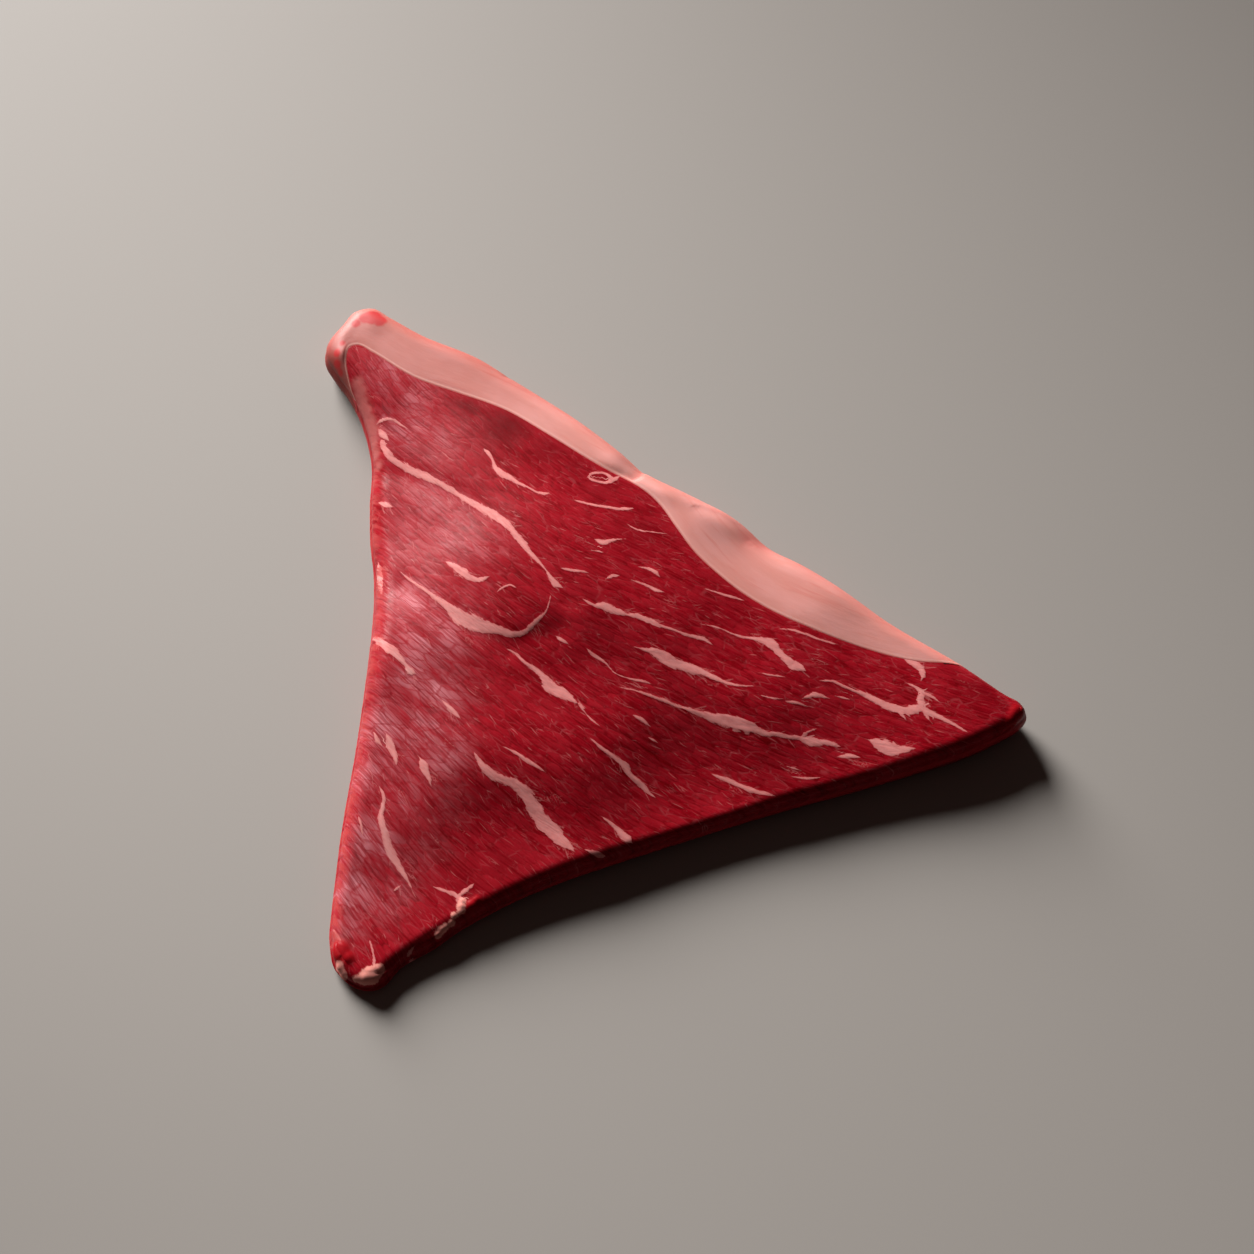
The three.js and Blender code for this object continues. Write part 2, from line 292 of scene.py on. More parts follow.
# seams and streaks of fat as they show from above: pixel x, pixel y, width in pixels
marbling = {
    "neckFold": [(377, 424, 2), (381, 421, 4), (391, 419, 3), (401, 425, 2), (410, 430, 1)],
    "neckSpot": [(379, 430, 3), (383, 435, 6), (388, 440, 3)],
    "neckSeam": [
        (382, 443, 6), (385, 450, 6), (395.5, 461, 6), (410, 469.4, 7), (426, 477.5, 7), (442, 484.7, 5),
        (459, 495, 5), (473, 504, 7), (489, 512, 8), (504, 522, 7.5), (516, 535, 6), (526, 547, 5.5),
        (536, 559, 3.5), (546.5, 571, 1.6), (551, 578, 4), (556, 584, 7), (563, 588, 1),
    ],
    "waistSeam": [
        (398, 570, 1), (410, 580, 2), (426, 590.6, 3), (440, 601, 5), (451, 609, 9), (463, 619, 15),
        (475, 623.5, 15), (487, 627.5, 10), (499.6, 630.4, 7), (512, 634, 5.5), (524, 632.5, 5),
        (532, 625.5, 4.5), (540.4, 617, 3), (545.5, 612, 1.4), (549, 603, 1.6), (551, 594, 1),
    ],
    "innerOne": [(446, 562, 2), (454, 566, 5), (463, 573, 9), (470, 577, 5), (480, 580, 5), (488, 577, 3)],
    "innerTwo": [
        (484, 449, 1.2), (488, 453, 4), (492, 459, 2), (496, 468, 5), (504, 475, 8), (511, 478.5, 5),
        (518, 483, 3.5), (527, 487, 2.6), (537, 492, 2.2), (545, 493.5, 3), (551, 493, 1),
    ],
    "innerThree": [(497, 592, 1), (502, 588, 2), (510, 585, 2.5), (517, 588, 1)],
    "ringTop": [(588, 477, 2), (591, 474, 2.4), (599, 472.6, 2.4), (607, 474.6, 2.6), (612, 479, 5)],
    "ringUnder": [
        (588, 477, 2), (592, 480, 2.6), (600, 482, 2.6), (607, 482.5, 3), (613, 480, 5), (620, 476, 3),
    ],
    "upperOne": [
        (574, 500, 1.4), (590.6, 504.5, 2.6), (605, 506.5, 2.6), (617, 508.6, 2.6), (631.4, 508.6, 3.2),
    ],
    "upperTwo": [(596.7, 540, 3.5), (603, 542.4, 6.5), (613, 540, 3.2), (625, 539, 1)],
    "upperThree": [(560, 567.8, 1.4), (572, 570.8, 3.2), (580, 571, 2), (589, 573, 2)],
    "upperFour": [(638.6, 566.7, 1.4), (647.8, 568.8, 3), (656, 573, 4.5), (660, 577, 1)],
    "upperFive": [(592, 550.4, 2), (604, 552.4, 1.6)],
    "upperSix": [(627, 524, 1.2), (637.6, 530, 1.8), (652, 532, 1.2), (668, 534, 0.8)],
    "upperSeven": [(606, 579, 1.4), (612, 576, 3.2), (620, 575.5, 1.4)],
    "upperEight": [(631, 579.6, 1.2), (645.7, 585, 2), (656, 590, 3.4), (664, 592, 1)],
    "longA": [
        (583.5, 599.4, 1.4), (594.7, 605.5, 3), (604, 606, 8), (611, 608.6, 8.5), (619, 611.6, 7),
        (627, 614.7, 2.4), (635.5, 615.7, 5), (647.8, 619.8, 5.7), (658, 625, 3.2), (674, 630, 2),
        (690.6, 636, 2.6), (702.9, 639, 4), (715, 646.3, 1),
    ],
    "longB": [
        (634.5, 647, 1.6), (647.8, 650.4, 3.4), (655, 652, 8), (666, 658.6, 11), (676, 664, 9),
        (690.6, 668.8, 9), (702.9, 672.9, 7), (715, 678, 5), (727, 683, 3), (739.6, 685.5, 1.8),
        (756, 686, 0.9),
    ],
    "longC": [
        (700.8, 624, 1.6), (719, 628, 1.8), (735.5, 635, 1.8), (749.8, 638, 2.4), (760, 639.4, 5),
        (771, 643.5, 10.5), (778, 650.6, 8), (786.5, 658.6, 7.5), (793.5, 665, 12), (801, 668.4, 6),
        (806, 671, 1),
    ],
    "longD": [
        (619, 687, 1), (638.7, 691.5, 1.6), (664, 700.7, 3.4), (682, 707.6, 3), (700.7, 713.3, 4.8),
        (712, 718, 8.5), (723.7, 720, 11.5), (737.4, 723.6, 12.5), (749, 726.4, 12), (757, 730, 6.5),
        (766, 733.6, 5.5), (776.5, 734, 4.4), (790, 737.2, 3.6), (800, 738, 3.6), (810, 741.4, 9.5),
        (819, 742.6, 5), (829, 743.2, 6.5), (841, 747, 1.2),
    ],
    "longDSpur": [(802, 737, 4), (808, 732, 2.4), (816, 729, 1)],
    "longE": [
        (819, 680.6, 1.2), (834, 681.4, 2.2), (843, 686, 2.2), (856, 691.5, 2.8), (867, 696, 5),
        (880, 702.6, 7), (893, 708, 8.5), (904, 711, 9.5), (913.5, 709.6, 8), (921, 708.6, 10.5),
        (928, 712, 6.5), (935.7, 715.4, 4.2), (948.6, 721.4, 2.8), (959.7, 727.6, 2), (969, 733, 0.9),
    ],
    "longEUp": [(921, 708, 9), (920.5, 700, 7.5), (922, 692.5, 4.5), (916, 687.4, 2.4), (907, 683, 0.9)],
    "longESide": [(922, 693, 3.4), (932, 696.4, 1.8), (940, 702.6, 0.8)],
    "longEDown": [(924, 711, 5), (927, 716, 3), (930, 721, 0.8)],
    "longEHeel": [(899, 711, 4), (903, 716, 2.2), (907, 721, 0.8)],
    "fatTail": [(889.5, 649, 3), (900.6, 651.4, 4), (911, 656, 2)],
    "fatHook": [(905.6, 659.6, 3), (914, 663.4, 6), (921, 669, 7), (923, 675, 5.4), (921, 681, 1)],
    "sideBlob": [
        (869, 740, 2), (876, 743, 9), (884, 747, 14), (893, 749.4, 12), (901, 749.8, 8),
        (914, 748.6, 2.6),
    ],
    "lineOne": [
        (776.6, 628.7, 1.2), (791.4, 629.8, 1.8), (806, 634.4, 2.8), (821, 639.8, 1.8),
        (839.5, 645, 1.4),
    ],
    "lineTwo": [(703, 588, 1.2), (715, 592, 1.8), (729, 596, 2.6), (743.7, 600.4, 1)],
    "lineThree": [
        (586.5, 648.4, 2), (594.7, 655.5, 3.2), (605, 662.7, 1.6), (615, 673, 1.4), (627, 678, 1.4),
        (641.6, 681, 2), (651.8, 684, 1),
    ],
    "lineFour": [(786, 701.7, 1.6), (797, 702.8, 2.6), (809, 707, 1)],
    "lineFive": [(803, 698.4, 1.8), (815.5, 694.7, 5), (829, 698.4, 1.4)],
    "lineSix": [(835, 695.8, 1.8), (849.8, 699.4, 1.4)],
    "lineSeven": [(837.7, 757, 1.6), (848.8, 756, 4), (860, 757.4, 1.6)],
    "lineEight": [(787.7, 766.5, 1.6), (800.7, 770.4, 1.2)],
    "lineNine": [(791.4, 776.6, 1.4), (808, 778.4, 2.4), (821, 777.5, 1)],
    "lineTen": [(758, 694.6, 1.2), (774, 698.4, 1.6), (786, 699, 0.8)],
    "lineEleven": [(755, 672, 1), (771, 675, 1.6), (785, 677, 1)],
    "middleH": [
        (505, 648, 1), (516, 654, 2), (524, 662, 3), (534, 668.4, 4.4), (543, 677, 6), (550, 686, 13),
        (558, 691.5, 12), (567, 696, 8), (576, 702, 4), (585, 708.7, 1.2),
    ],
    "middleI": [
        (589, 737, 1.2), (599.7, 746.6, 2.4), (613.5, 757, 4.4), (625, 766, 6.8), (630, 775, 4.4),
        (641, 784.5, 5.4), (648, 792, 3.4), (656, 798, 1.2),
    ],
    "middleJ": [
        (474, 752, 0.8), (478, 759, 3.2), (485, 768, 6.4), (494, 776, 7.6), (504, 780, 8), (515, 784.5, 9.6),
        (526, 794.7, 11.2), (534.3, 809, 12.4), (544.5, 823, 13.6), (554.7, 834, 12.4), (564, 843, 8.8),
        (574, 851, 2.4),
    ],
    "middleK": [(602, 816.6, 1.6), (613.5, 825.8, 3.4), (620, 832.7, 6.8), (628, 839.5, 7), (632, 843, 1.5)],
    "middleL": [(503, 746.6, 1.2), (516, 753, 3.2), (526, 760, 3.8), (536, 766, 2.6), (547, 773.4, 1)],
    "middleM": [(712, 774, 1.4), (723.7, 778.7, 3.4), (739.7, 785.6, 4.6), (753.5, 791, 5), (775, 796, 1.6)],
    "middleN": [(586, 850, 2), (597.4, 854.5, 4.4), (606, 856, 1)],
    "middleO": [(634, 715.6, 2), (641, 719.4, 3.8), (650, 726.4, 1.4)],
    "middleP": [(648, 737.4, 2), (659, 743.4, 1.4)],
    "middleQ": [(556, 636, 1.6), (561, 640, 4), (568, 644, 1)],
    "middleR": [(575, 700, 1), (590, 718, 1.2), (604, 730, 1)],
    "leftN": [
        (374, 639, 4.5), (383, 644, 5.5), (391, 650.5, 9), (400, 658.4, 6), (406, 665, 3), (410, 671, 8),
        (416, 674, 1),
    ],
    "leftTop": [(380, 503, 3), (386, 505, 6), (393, 507, 1.5)],
    "leftEdge": [(378, 562, 1.5), (379, 571, 6), (380, 582, 7), (381.4, 595, 2)],
    "leftO": [(386, 733, 1.4), (389, 739.6, 5.4), (392, 748, 7), (395.5, 758, 4), (396.5, 766, 1)],
    "leftP": [(374, 733, 1.6), (377, 740, 4), (382, 746, 1)],
    "leftQ": [(420, 758, 2), (423.6, 766, 9), (428, 776, 3.4), (432, 788, 1)],
    "leftM": [
        (379, 786, 1), (383.6, 796, 3), (383, 806, 4), (381, 815, 5.4), (383, 827, 6), (386, 840, 6.5),
        (390.5, 852, 7.6), (396, 862, 7.4), (402, 872, 6), (408, 881, 2.4), (412, 889, 1),
    ],
    "leftR": [(442, 700, 1.6), (452, 710, 5), (460, 718, 2)],
    "leftS": [(358, 815, 1), (361, 824, 3), (363, 836, 1)],
    "footLeft": [(334, 930, 2), (337, 937, 4), (341, 941, 2)],
    "footFork": [(434, 887, 1.6), (446, 891, 2.4), (457, 896.4, 6), (461, 903, 8)],
    "footForkUp": [(458, 896, 5), (466, 890.4, 4), (475, 883, 1.4)],
    "footLine": [(370, 942, 2.6), (373, 952, 2), (374.4, 966, 3)],
    "footRight": [(408.6, 955, 3.4), (413.6, 947, 1.4)],
    "footShort": [(395, 890, 2.4), (400, 886, 1.2)],
}
pixelWidth = 0.36  # mm of meat to a pixel across a streak

# which way the fibres run: pixel x, pixel y, degrees down to the right
grainHints = [
    (980, 705, 14), (900, 700, 20), (820, 650, 16), (700, 600, 17), (700, 690, 19), (780, 735, 15),
    (890, 752, 6), (600, 505, 9), (610, 545, 8), (520, 480, 31), (450, 420, 30), (375, 380, 62),
    (400, 460, 36), (460, 530, 42), (430, 500, 44), (530, 540, 30), (600, 605, 16), (650, 655, 18),
    (560, 690, 38), (525, 660, 40), (620, 767, 45), (660, 740, 26), (720, 780, 22), (590, 740, 42),
    (500, 770, 42), (550, 825, 48), (630, 840, 40), (460, 820, 52), (440, 610, 40), (410, 590, 50),
    (385, 640, 50), (420, 700, 52), (385, 580, 62), (385, 540, 60), (395, 750, 64), (375, 830, 76),
    (360, 900, 77), (400, 900, 66), (440, 880, 50), (480, 880, 30), (350, 940, 70),
]
grain = {
    "reach": 14,  # mm, how far each hint holds
    "fall": 1.6,  # how fast it gives way to the next one
    "hintStep": 6,  # pixels
    "sideDrift": 0.35,  # mm along the fibres for each mm down a side
    "cell": 2.0,  # mm, grid on which the fibres are traced
    "low": (-140.0, -148.0),
    "size": (141, 150),
}


def directionAt(points):
    hints = np.array(grainHints, float)
    start = throughPixels(hints[:, :2])
    angle = np.radians(hints[:, 2])
    step = np.stack([np.cos(angle), np.sin(angle)], 1) * grain["hintStep"]
    along = throughPixels(hints[:, :2] + step) - start
    along /= np.linalg.norm(along, axis=1)[:, None]
    far2 = ((points[:, None] - start[None]) ** 2).sum(2)
    field = (1 / (far2 + grain["reach"] ** 2) ** grain["fall"]) @ along
    return field / np.linalg.norm(field, axis=1)[:, None]


def potential(slopeX, slopeY, step):
    # the height map on a grid whose slopes come nearest to those given
    fluxX = np.pad((slopeX[:, 1:] + slopeX[:, :-1]) / 2, ((0, 0), (1, 1)))
    fluxY = np.pad((slopeY[1:] + slopeY[:-1]) / 2, ((1, 1), (0, 0)))
    source = (np.diff(fluxX, axis=1) + np.diff(fluxY, axis=0)) * step
    mirrored = np.block([[source, source[:, ::-1]], [source[::-1], source[::-1, ::-1]]])
    rows, columns = mirrored.shape
    waveY = 2 * np.cos(2 * np.pi * np.arange(rows) / rows) - 2
    waveX = 2 * np.cos(2 * np.pi * np.arange(columns) / columns) - 2
    waves = waveY[:, None] + waveX[None]
    waves[0, 0] = 1
    found = np.fft.fft2(mirrored) / waves
    found[0, 0] = 0
    return np.fft.ifft2(found).real[:rows // 2, :columns // 2]


def traceGrain():
    columns, rows = grain["size"]
    x = grain["low"][0] + np.arange(columns) * grain["cell"]
    y = grain["low"][1] + np.arange(rows) * grain["cell"]
    gridX, gridY = np.meshgrid(x, y)
    field = directionAt(np.column_stack([gridX.ravel(), gridY.ravel()]))
    wayX, wayY = field[:, 0].reshape(rows, columns), field[:, 1].reshape(rows, columns)
    cell = grain["cell"]
    return wayX, wayY, potential(wayX, wayY, cell), potential(-wayY, wayX, cell)


wayXMap, wayYMap, alongMap, acrossMap = traceGrain()


def readMap(grid, points):
    at = (points - grain["low"]) / grain["cell"]
    at = np.clip(at, 0, np.array(grain["size"]) - 1.001)
    low = at.astype(int)
    fx, fy = (at - low).T
    x, y = low.T
    return (
        grid[y, x] * (1 - fx) * (1 - fy) + grid[y, x + 1] * fx * (1 - fy)
        + grid[y + 1, x] * (1 - fx) * fy + grid[y + 1, x + 1] * fx * fy
    )


def fibresAt(points, depth):
    # along and across the fibres, mm; down a side both go on
    along = readMap(alongMap, points) + grain["sideDrift"] * depth
    across = readMap(acrossMap, points) + depth
    return np.column_stack([along, across, depth])


print("grain traced")

streakStep = 0.25  # mm between the samples down a streak
farHalf = -3.0  # half width given to meat with no streak near
endFall = 0.6  # mm narrower for each mm past an end
readReach = 1.7  # mm past its edge at which a streak no longer counts


class Streaks:
    # samples down many thin tapering lines, and how meat near them reads them

    def __init__(self):
        self.places, self.ways, self.halves, self.lengths = [], [], [], []

    def add(self, line, halves):
        along = lengthAlong(line)
        if along[-1] < streakStep * 2:
            return
        wanted = np.linspace(0, along[-1], int(along[-1] / streakStep) + 2)
        places = atLengths(line, wanted)
        ways = np.gradient(places, axis=0)
        self.places.append(places)
        self.ways.append(ways / np.linalg.norm(ways, axis=1)[:, None])
        self.halves.append(np.interp(wanted, along, halves))
        self.lengths.append(wanted)

    def read(self, points):
        # side, half width and place along, in mm
        places, ways = np.vstack(self.places), np.vstack(self.ways)
        halves, lengths = np.concatenate(self.halves), np.concatenate(self.lengths)
        near = nearest(places, points)
        off = points - places[near]
        side = ways[near, 0] * off[:, 1] - ways[near, 1] * off[:, 0]
        past = np.abs((ways[near] * off).sum(1))
        half = halves[near] - endFall * np.maximum(0, past - streakStep)
        half = np.where(np.hypot(side, past) > np.maximum(half, 0) + readReach, farHalf, half)
        return np.column_stack([side, half, lengths[near]])


bigLines = {
    "steps": 8,  # between two marks
    "endThin": 0.25,  # mm taken off the half width at an end
    "endOver": 2,  # steps over which it comes back
}
dashes = {
    "count": 900,
    "length": (1.8, 8.0),  # mm
    "lengthShare": (0.5, 1),
    "half": (0.10, 0.26),  # mm
    "swing": 10,  # degrees off the fibres
    "bend": 18,
    "seed": 11,
    "walkStep": 0.8,  # mm
    "leastSteps": 3,
    "roundness": 0.6,  # less makes the ends blunter
    "thinBy": 0.08,  # mm, so that the ends run out
    "spurs": 260,  # short side branches of the big streaks
    "spurLength": (1.4, 4.2),
    "spurHalf": (0.14, 0.3),
    "spurSwing": (5, 38),
    "spurFrom": 0.55,  # mm, half width of a streak that can carry one
    "spurStart": 0.8,  # of that half width, out from the middle
    "spurBlunt": 0.5,
}


def bigStreaks():
    streaks = Streaks()
    for marks in marbling.values():
        marks = np.array(marks, float)
        line = throughPixels(marks[:, :2])
        fine = spline(line, False, bigLines["steps"])
        at = np.arange(len(fine)) / bigLines["steps"]
        halves = np.interp(at, np.arange(len(marks)), marks[:, 2]) * pixelWidth / 2
        taper = np.minimum(np.arange(len(fine)), np.arange(len(fine))[::-1])
        halves -= bigLines["endThin"] * bell(taper, bigLines["endOver"])
        streaks.add(fine, halves)
    return streaks


def walk(start, length, swing, bend):
    # a short line from start that keeps near the fibres
    points = [start]
    steps = max(dashes["leastSteps"], int(length / dashes["walkStep"]))
    for i in range(steps):
        here = points[-1][None]
        way = np.array([readMap(wayXMap, here)[0], readMap(wayYMap, here)[0]])
        turn = math.radians(swing + bend * (i / steps - 0.5))
        way = np.array([way[0] * math.cos(turn) - way[1] * math.sin(turn),
                        way[0] * math.sin(turn) + way[1] * math.cos(turn)])
        points.append(points[-1] + way * length / steps)
    return np.array(points)


def smallStreaks(big):
    rng = np.random.default_rng(dashes["seed"])
    small = Streaks()
    low, high = outline.min(0), outline.max(0)

    def addDash(start, length, half, swing, bend, blunt):
        line = walk(start, length, swing, bend)
        t = np.linspace(0, 1, len(line))
        shape = np.sin(np.pi * np.clip(t * (1 - blunt) + blunt / 2, 0, 1)) ** dashes["roundness"]
        small.add(line, half * shape - dashes["thinBy"])

    made = 0
    while made < dashes["count"]:
        start = rng.uniform(low, high)
        if not inside(start[None], outline)[0]:
            continue
        length = rng.uniform(*dashes["length"]) * rng.uniform(*dashes["lengthShare"])
        half = rng.uniform(*dashes["half"])
        swing = rng.normal(0, dashes["swing"])
        addDash(start, length, half, swing, rng.normal(0, dashes["bend"]), 0)
        made += 1
    places, ways = np.vstack(big.places), np.vstack(big.ways)
    halves = np.concatenate(big.halves)
    wide = np.flatnonzero(halves > dashes["spurFrom"])
    for pick in rng.choice(wide, dashes["spurs"]):
        away = rng.choice([-1, 1])
        way = ways[pick]
        start = places[pick] + away * np.array([-way[1], way[0]]) * halves[pick] * dashes["spurStart"]
        length = rng.uniform(*dashes["spurLength"])
        half = rng.uniform(*dashes["spurHalf"])
        swing = away * rng.uniform(*dashes["spurSwing"])
        addDash(start, length, half, swing, 0, dashes["spurBlunt"])
    return small


big = bigStreaks()
small = smallStreaks(big)
print("streaks", sum(map(len, big.places)), "and", sum(map(len, small.places)), "samples")

# the lean
lean = {
    "grid": 360,  # steps along each of its three sides
    "underGrid": 120,
    "topInsets": [0, 0.1, 0.4, 0.9, 1.6, 2.4],
    "underInsets": [0, 0.15, 0.5, 1.1, 2.0, 3.2, 5.0],
    "underGap": 2.0,
    "wallRows": 8,
    "underShift": (17, -11),  # mm, so that the underside isn't the top again
    "underDepth": 25.0,  # mm, given to all of the underside
    "sideSlant": 0.5,  # how fast the streaks run inwards down a side
    "skinReach": 1.5,  # mm from the edge over which the side's bulge fades
    # where the relief may show: mm above the ground, mm beside the fat, and the least beside it
    "holdRise": (0.3, 3),
    "holdBeside": (0.2, 2.5),
    "holdLeast": 0.15,
}
# where a painted sheen lies over the fibres, pale and pinkish: pixel x, pixel y, radius mm, strength
paintedSheenSpots = [
    (392, 372, 9, 0.75), (412, 398, 9, 0.6), (404, 428, 11, 0.65), (436, 440, 10, 0.35), (424, 500, 12, 0.38),
    (448, 536, 12, 0.38), (404, 540, 10, 0.38), (480, 552, 11, 0.3), (410, 604, 12, 0.8), (432, 640, 12, 1.0),
    (404, 672, 9, 1.0), (436, 692, 10, 1.0), (424, 730, 10, 1.0), (446, 752, 8, 0.9), (384, 724, 9, 1.0),
    (374, 780, 9, 1.0), (398, 800, 9, 0.8), (366, 846, 10, 1.0), (352, 890, 9, 1.0), (384, 896, 9, 0.6),
    (346, 925, 6, 0.6), (470, 596, 8, 0.3), (440, 800, 9, 0.3), (420, 850, 9, 0.3),
]
# plain dark muscle with hardly a thread in it
calmSpots = [
    (508, 424, 13, 1.0), (470, 404, 8, 0.8), (548, 448, 9, 0.7), (452, 386, 5, 0.4), (986, 690, 8, 0.6),
    (506, 866, 9, 0.5), (470, 888, 8, 0.5), (640, 530, 14, 0.5), (600, 490, 9, 0.5), (574, 466, 8, 0.5),
    (720, 590, 12, 0.35),
]
# small pieces of fat and of bare meat on the ends: pixel x, pixel y, radius mm
fatBits = [
    (372, 974, 3.4), (364, 979, 2.6), (379, 969, 2.3), (356, 979, 1.6), (338, 969, 2.5), (342, 975, 2.2),
    (463, 899, 1.5), (462, 904, 1.7), (460, 909, 1.6), (456, 915, 1.5), (452, 921, 1.5), (448, 926, 1.6),
    (444, 931, 1.7), (440, 935, 1.7),
]
redBits = [
    (338, 950, 4.2), (346, 956, 3.0), (1019, 712, 3.6), (1014, 722, 3.4), (1004, 732, 2.0), (470, 903, 2.4),
    (478, 898, 1.8),
]
# pale skin down the side below the neck
skinBits = [
    (356, 384, 3.0), (358, 393, 3.4), (361, 402, 3.6), (364, 412, 3.8), (367, 422, 3.8), (370, 432, 3.8),
    (372, 442, 3.4), (374, 454, 2.8), (376, 466, 2.2),
]


def coons(a, b, c):
    # triangular grid spanned by three sides of n + 1 points each; its rows run along side a
    n = len(a) - 1
    rows = []
    for t in range(n + 1):
        i = np.arange(n - t + 1)
        s = n - i - t
        row = s[:, None] * (a[i] + c[n - t] - a[0]) + i[:, None] * (b[t] + a[n - s] - b[0])
        rows.append((row + t * (c[s] + b[n - i] - c[0])) / n)
    return rows


def gridInside(ring, n, first):
    # fresh points inside a closed ring of 3n points, and the faces over them;
    # the ring's own points are numbered -1, -2 and so on
    loop = np.vstack([ring, ring[:1]])
    rows = coons(loop[:n + 1], loop[n:2 * n + 1], loop[2 * n:])
    fresh, numbers = [], []
    for t, row in enumerate(rows):
        number = np.empty(len(row), int)
        if t == 0:
            number[:] = -1 - np.arange(n + 1)
        else:
            number[1:-1] = first + np.arange(len(row[1:-1]))
            first += len(row[1:-1])
            fresh.append(row[1:-1])
            number[0] = -1 - (3 * n - t) % (3 * n)
            number[-1] = -1 - (n + t)
        numbers.append(number)
    faces = []
    for low, high in zip(numbers[:-1], numbers[1:]):
        faces.append(np.stack([low[:-1], low[1:], high], 1))
        faces.append(np.stack([low[1:-1], high[1:], high[:-1]], 1))
    return np.vstack(fresh), np.vstack(faces)


def strip(low, high):
    return np.stack([low, np.roll(low, -1), np.roll(high, -1), high], 1)


def leanRim():
    far = np.vstack([outline[:farAt], fatLine[fatTo:tipAt:-1], fatLine[tipAt:tipAt + 1]])
    blunt = np.vstack([fatLine[tipAt:fatFrom:-1], outline[bluntAt:footAt + 1]])
    front = np.vstack([outline[footAt:], outline[:1]])
    return np.vstack([evenly(side, lean["grid"])[:-1] for side in (far, blunt, front)])


def leanMesh():
    # vertices, the plan point and depth that give each its pattern, and faces
    rim = leanRim()
    n = len(rim)
    normal = outwards(rim)
    inward = rim.mean(0) - rim
    inward /= np.linalg.norm(inward, axis=1)[:, None]
    skin = bell(edgeDistance(rim), lean["skinReach"])[:, None]
    reach = lumpReach(rim)[:, None] * skin
    topZ, lowZ = topHeight(rim), undersideHeight(rim)
    points, pattern = [], []

    def addRing(plan, z, depth):
        points.append(np.column_stack([plan, z]))
        slant = normal * (depth * lean["sideSlant"])[:, None]
        pattern.append(np.column_stack([rim - slant if depth.any() else plan, depth]))

    for inset in reversed(lean["underInsets"]):
        q = rim + inward * inset
        z = undersideHeight(q) if inset < lean["underInsets"][-1] else np.zeros(n)
        addRing(q + normal * reach * bell(inset, form["lumpFade"]), z, topZ - z + inset)
    for row in range(1, lean["wallRows"]):
        share = row / lean["wallRows"]
        swell = reach + skin * form["wallBulge"] * math.sin(math.pi * share)
        z = lowZ + (topZ - lowZ) * share
        addRing(rim + normal * swell, z, topZ - z)
    for inset in lean["topInsets"]:
        q = rim + inward * inset
        addRing(q + normal * reach * bell(inset, form["lumpFade"]), topHeight(q), np.zeros(n))
    rings = np.arange(len(points) * n).reshape(-1, n)
    faces = [strip(low, high) for low, high in zip(rings[:-1], rings[1:])]

    fresh, grid = gridInside(points[-1][:, :2], lean["grid"], rings.size)
    points.append(np.column_stack([fresh, topHeight(fresh)]))
    pattern.append(np.column_stack([fresh, np.zeros(len(fresh))]))
    faces.append(np.where(grid < 0, rings[-1][(-1 - grid) % n], grid))

    # the underside: every third point of its rim carries a coarser grid
    step = lean["grid"] // lean["underGrid"]
    coarse = points[0][::step, :2] + inward[::step] * lean["underGap"]
    first = sum(map(len, points))
    ring = first + np.arange(len(coarse))
    fine = rings[0].reshape(-1, step)
    ringNext, fineNext = np.roll(ring, -1), np.roll(fine[:, 0], -1)
    faces.append(np.vstack([
        np.stack([fine[:, 0], ring, fine[:, 1]], 1), np.stack([fine[:, 1], ring, fine[:, 2]], 1),
        np.stack([fine[:, 2], ring, ringNext], 1), np.stack([fine[:, 2], ringNext, fineNext], 1),
    ]))
    fresh, grid = gridInside(coarse, lean["underGrid"], first + len(coarse))
    faces.append(np.where(grid < 0, ring[(-1 - grid) % len(ring)], grid)[:, ::-1])
    under = np.vstack([coarse, fresh])
    points.append(np.column_stack([under, np.zeros(len(under))]))
    underDepth = np.full(len(under), lean["underDepth"])
    pattern.append(np.column_stack([under + lean["underShift"], underDepth]))
    return np.vstack(points), np.vstack(pattern), faces


def addObject(name, points, faces):
    moved = (points + [*slab["middle"], 0]) * mm
    mesh = bpy.data.meshes.new(name)
    mesh.from_pydata(moved.tolist(), [], [f for group in faces for f in group.tolist()])
    mesh.update()
    mesh.shade_smooth()
    made = bpy.data.objects.new(name, mesh)
    bpy.context.scene.collection.objects.link(made)
    return made


def addLayers(piece, layers):
    # values that the relief and the materials read, one for each point
    for name, values in layers.items():
        vector = values.ndim == 2
        layer = piece.data.attributes.new(name, "FLOAT_VECTOR" if vector else "FLOAT", "POINT")
        layer.data.foreach_set("vector" if vector else "value", values.astype(np.float32).ravel())


def seenAt(points, px, py):
    # the point of a piece that a pixel shows
    off = points + [*slab["middle"], 0] - eye
    far = off @ forward
    x = view["picture"] / 2 + focal * off[:, 0] / far
    y = view["picture"] / 2 - focal * (off @ upward) / far
    miss = np.hypot(x - px, y - py)
    close = np.flatnonzero(miss < max(view["close"], miss.min() + view["closer"]))
    return points[close[far[close].argmin()]]


farBit = -9.0  # mm, given to points with no small piece near


def bitsNear(points, bits):
    # mm inside the nearest of the small pieces, which are balls
    best = np.full(len(points), farBit)
    for px, py, radius in bits:
        best = np.maximum(best, radius - np.linalg.norm(points - seenAt(points, px, py), axis=1))
    return best


def spotsNear(plan, spots):
    total = np.zeros(len(plan))
    for px, py, radius, strength in spots:
        x, y = throughPixels([(px, py)])[0]
        total = np.maximum(total, strength * spot(plan, x, y, radius))
    return total


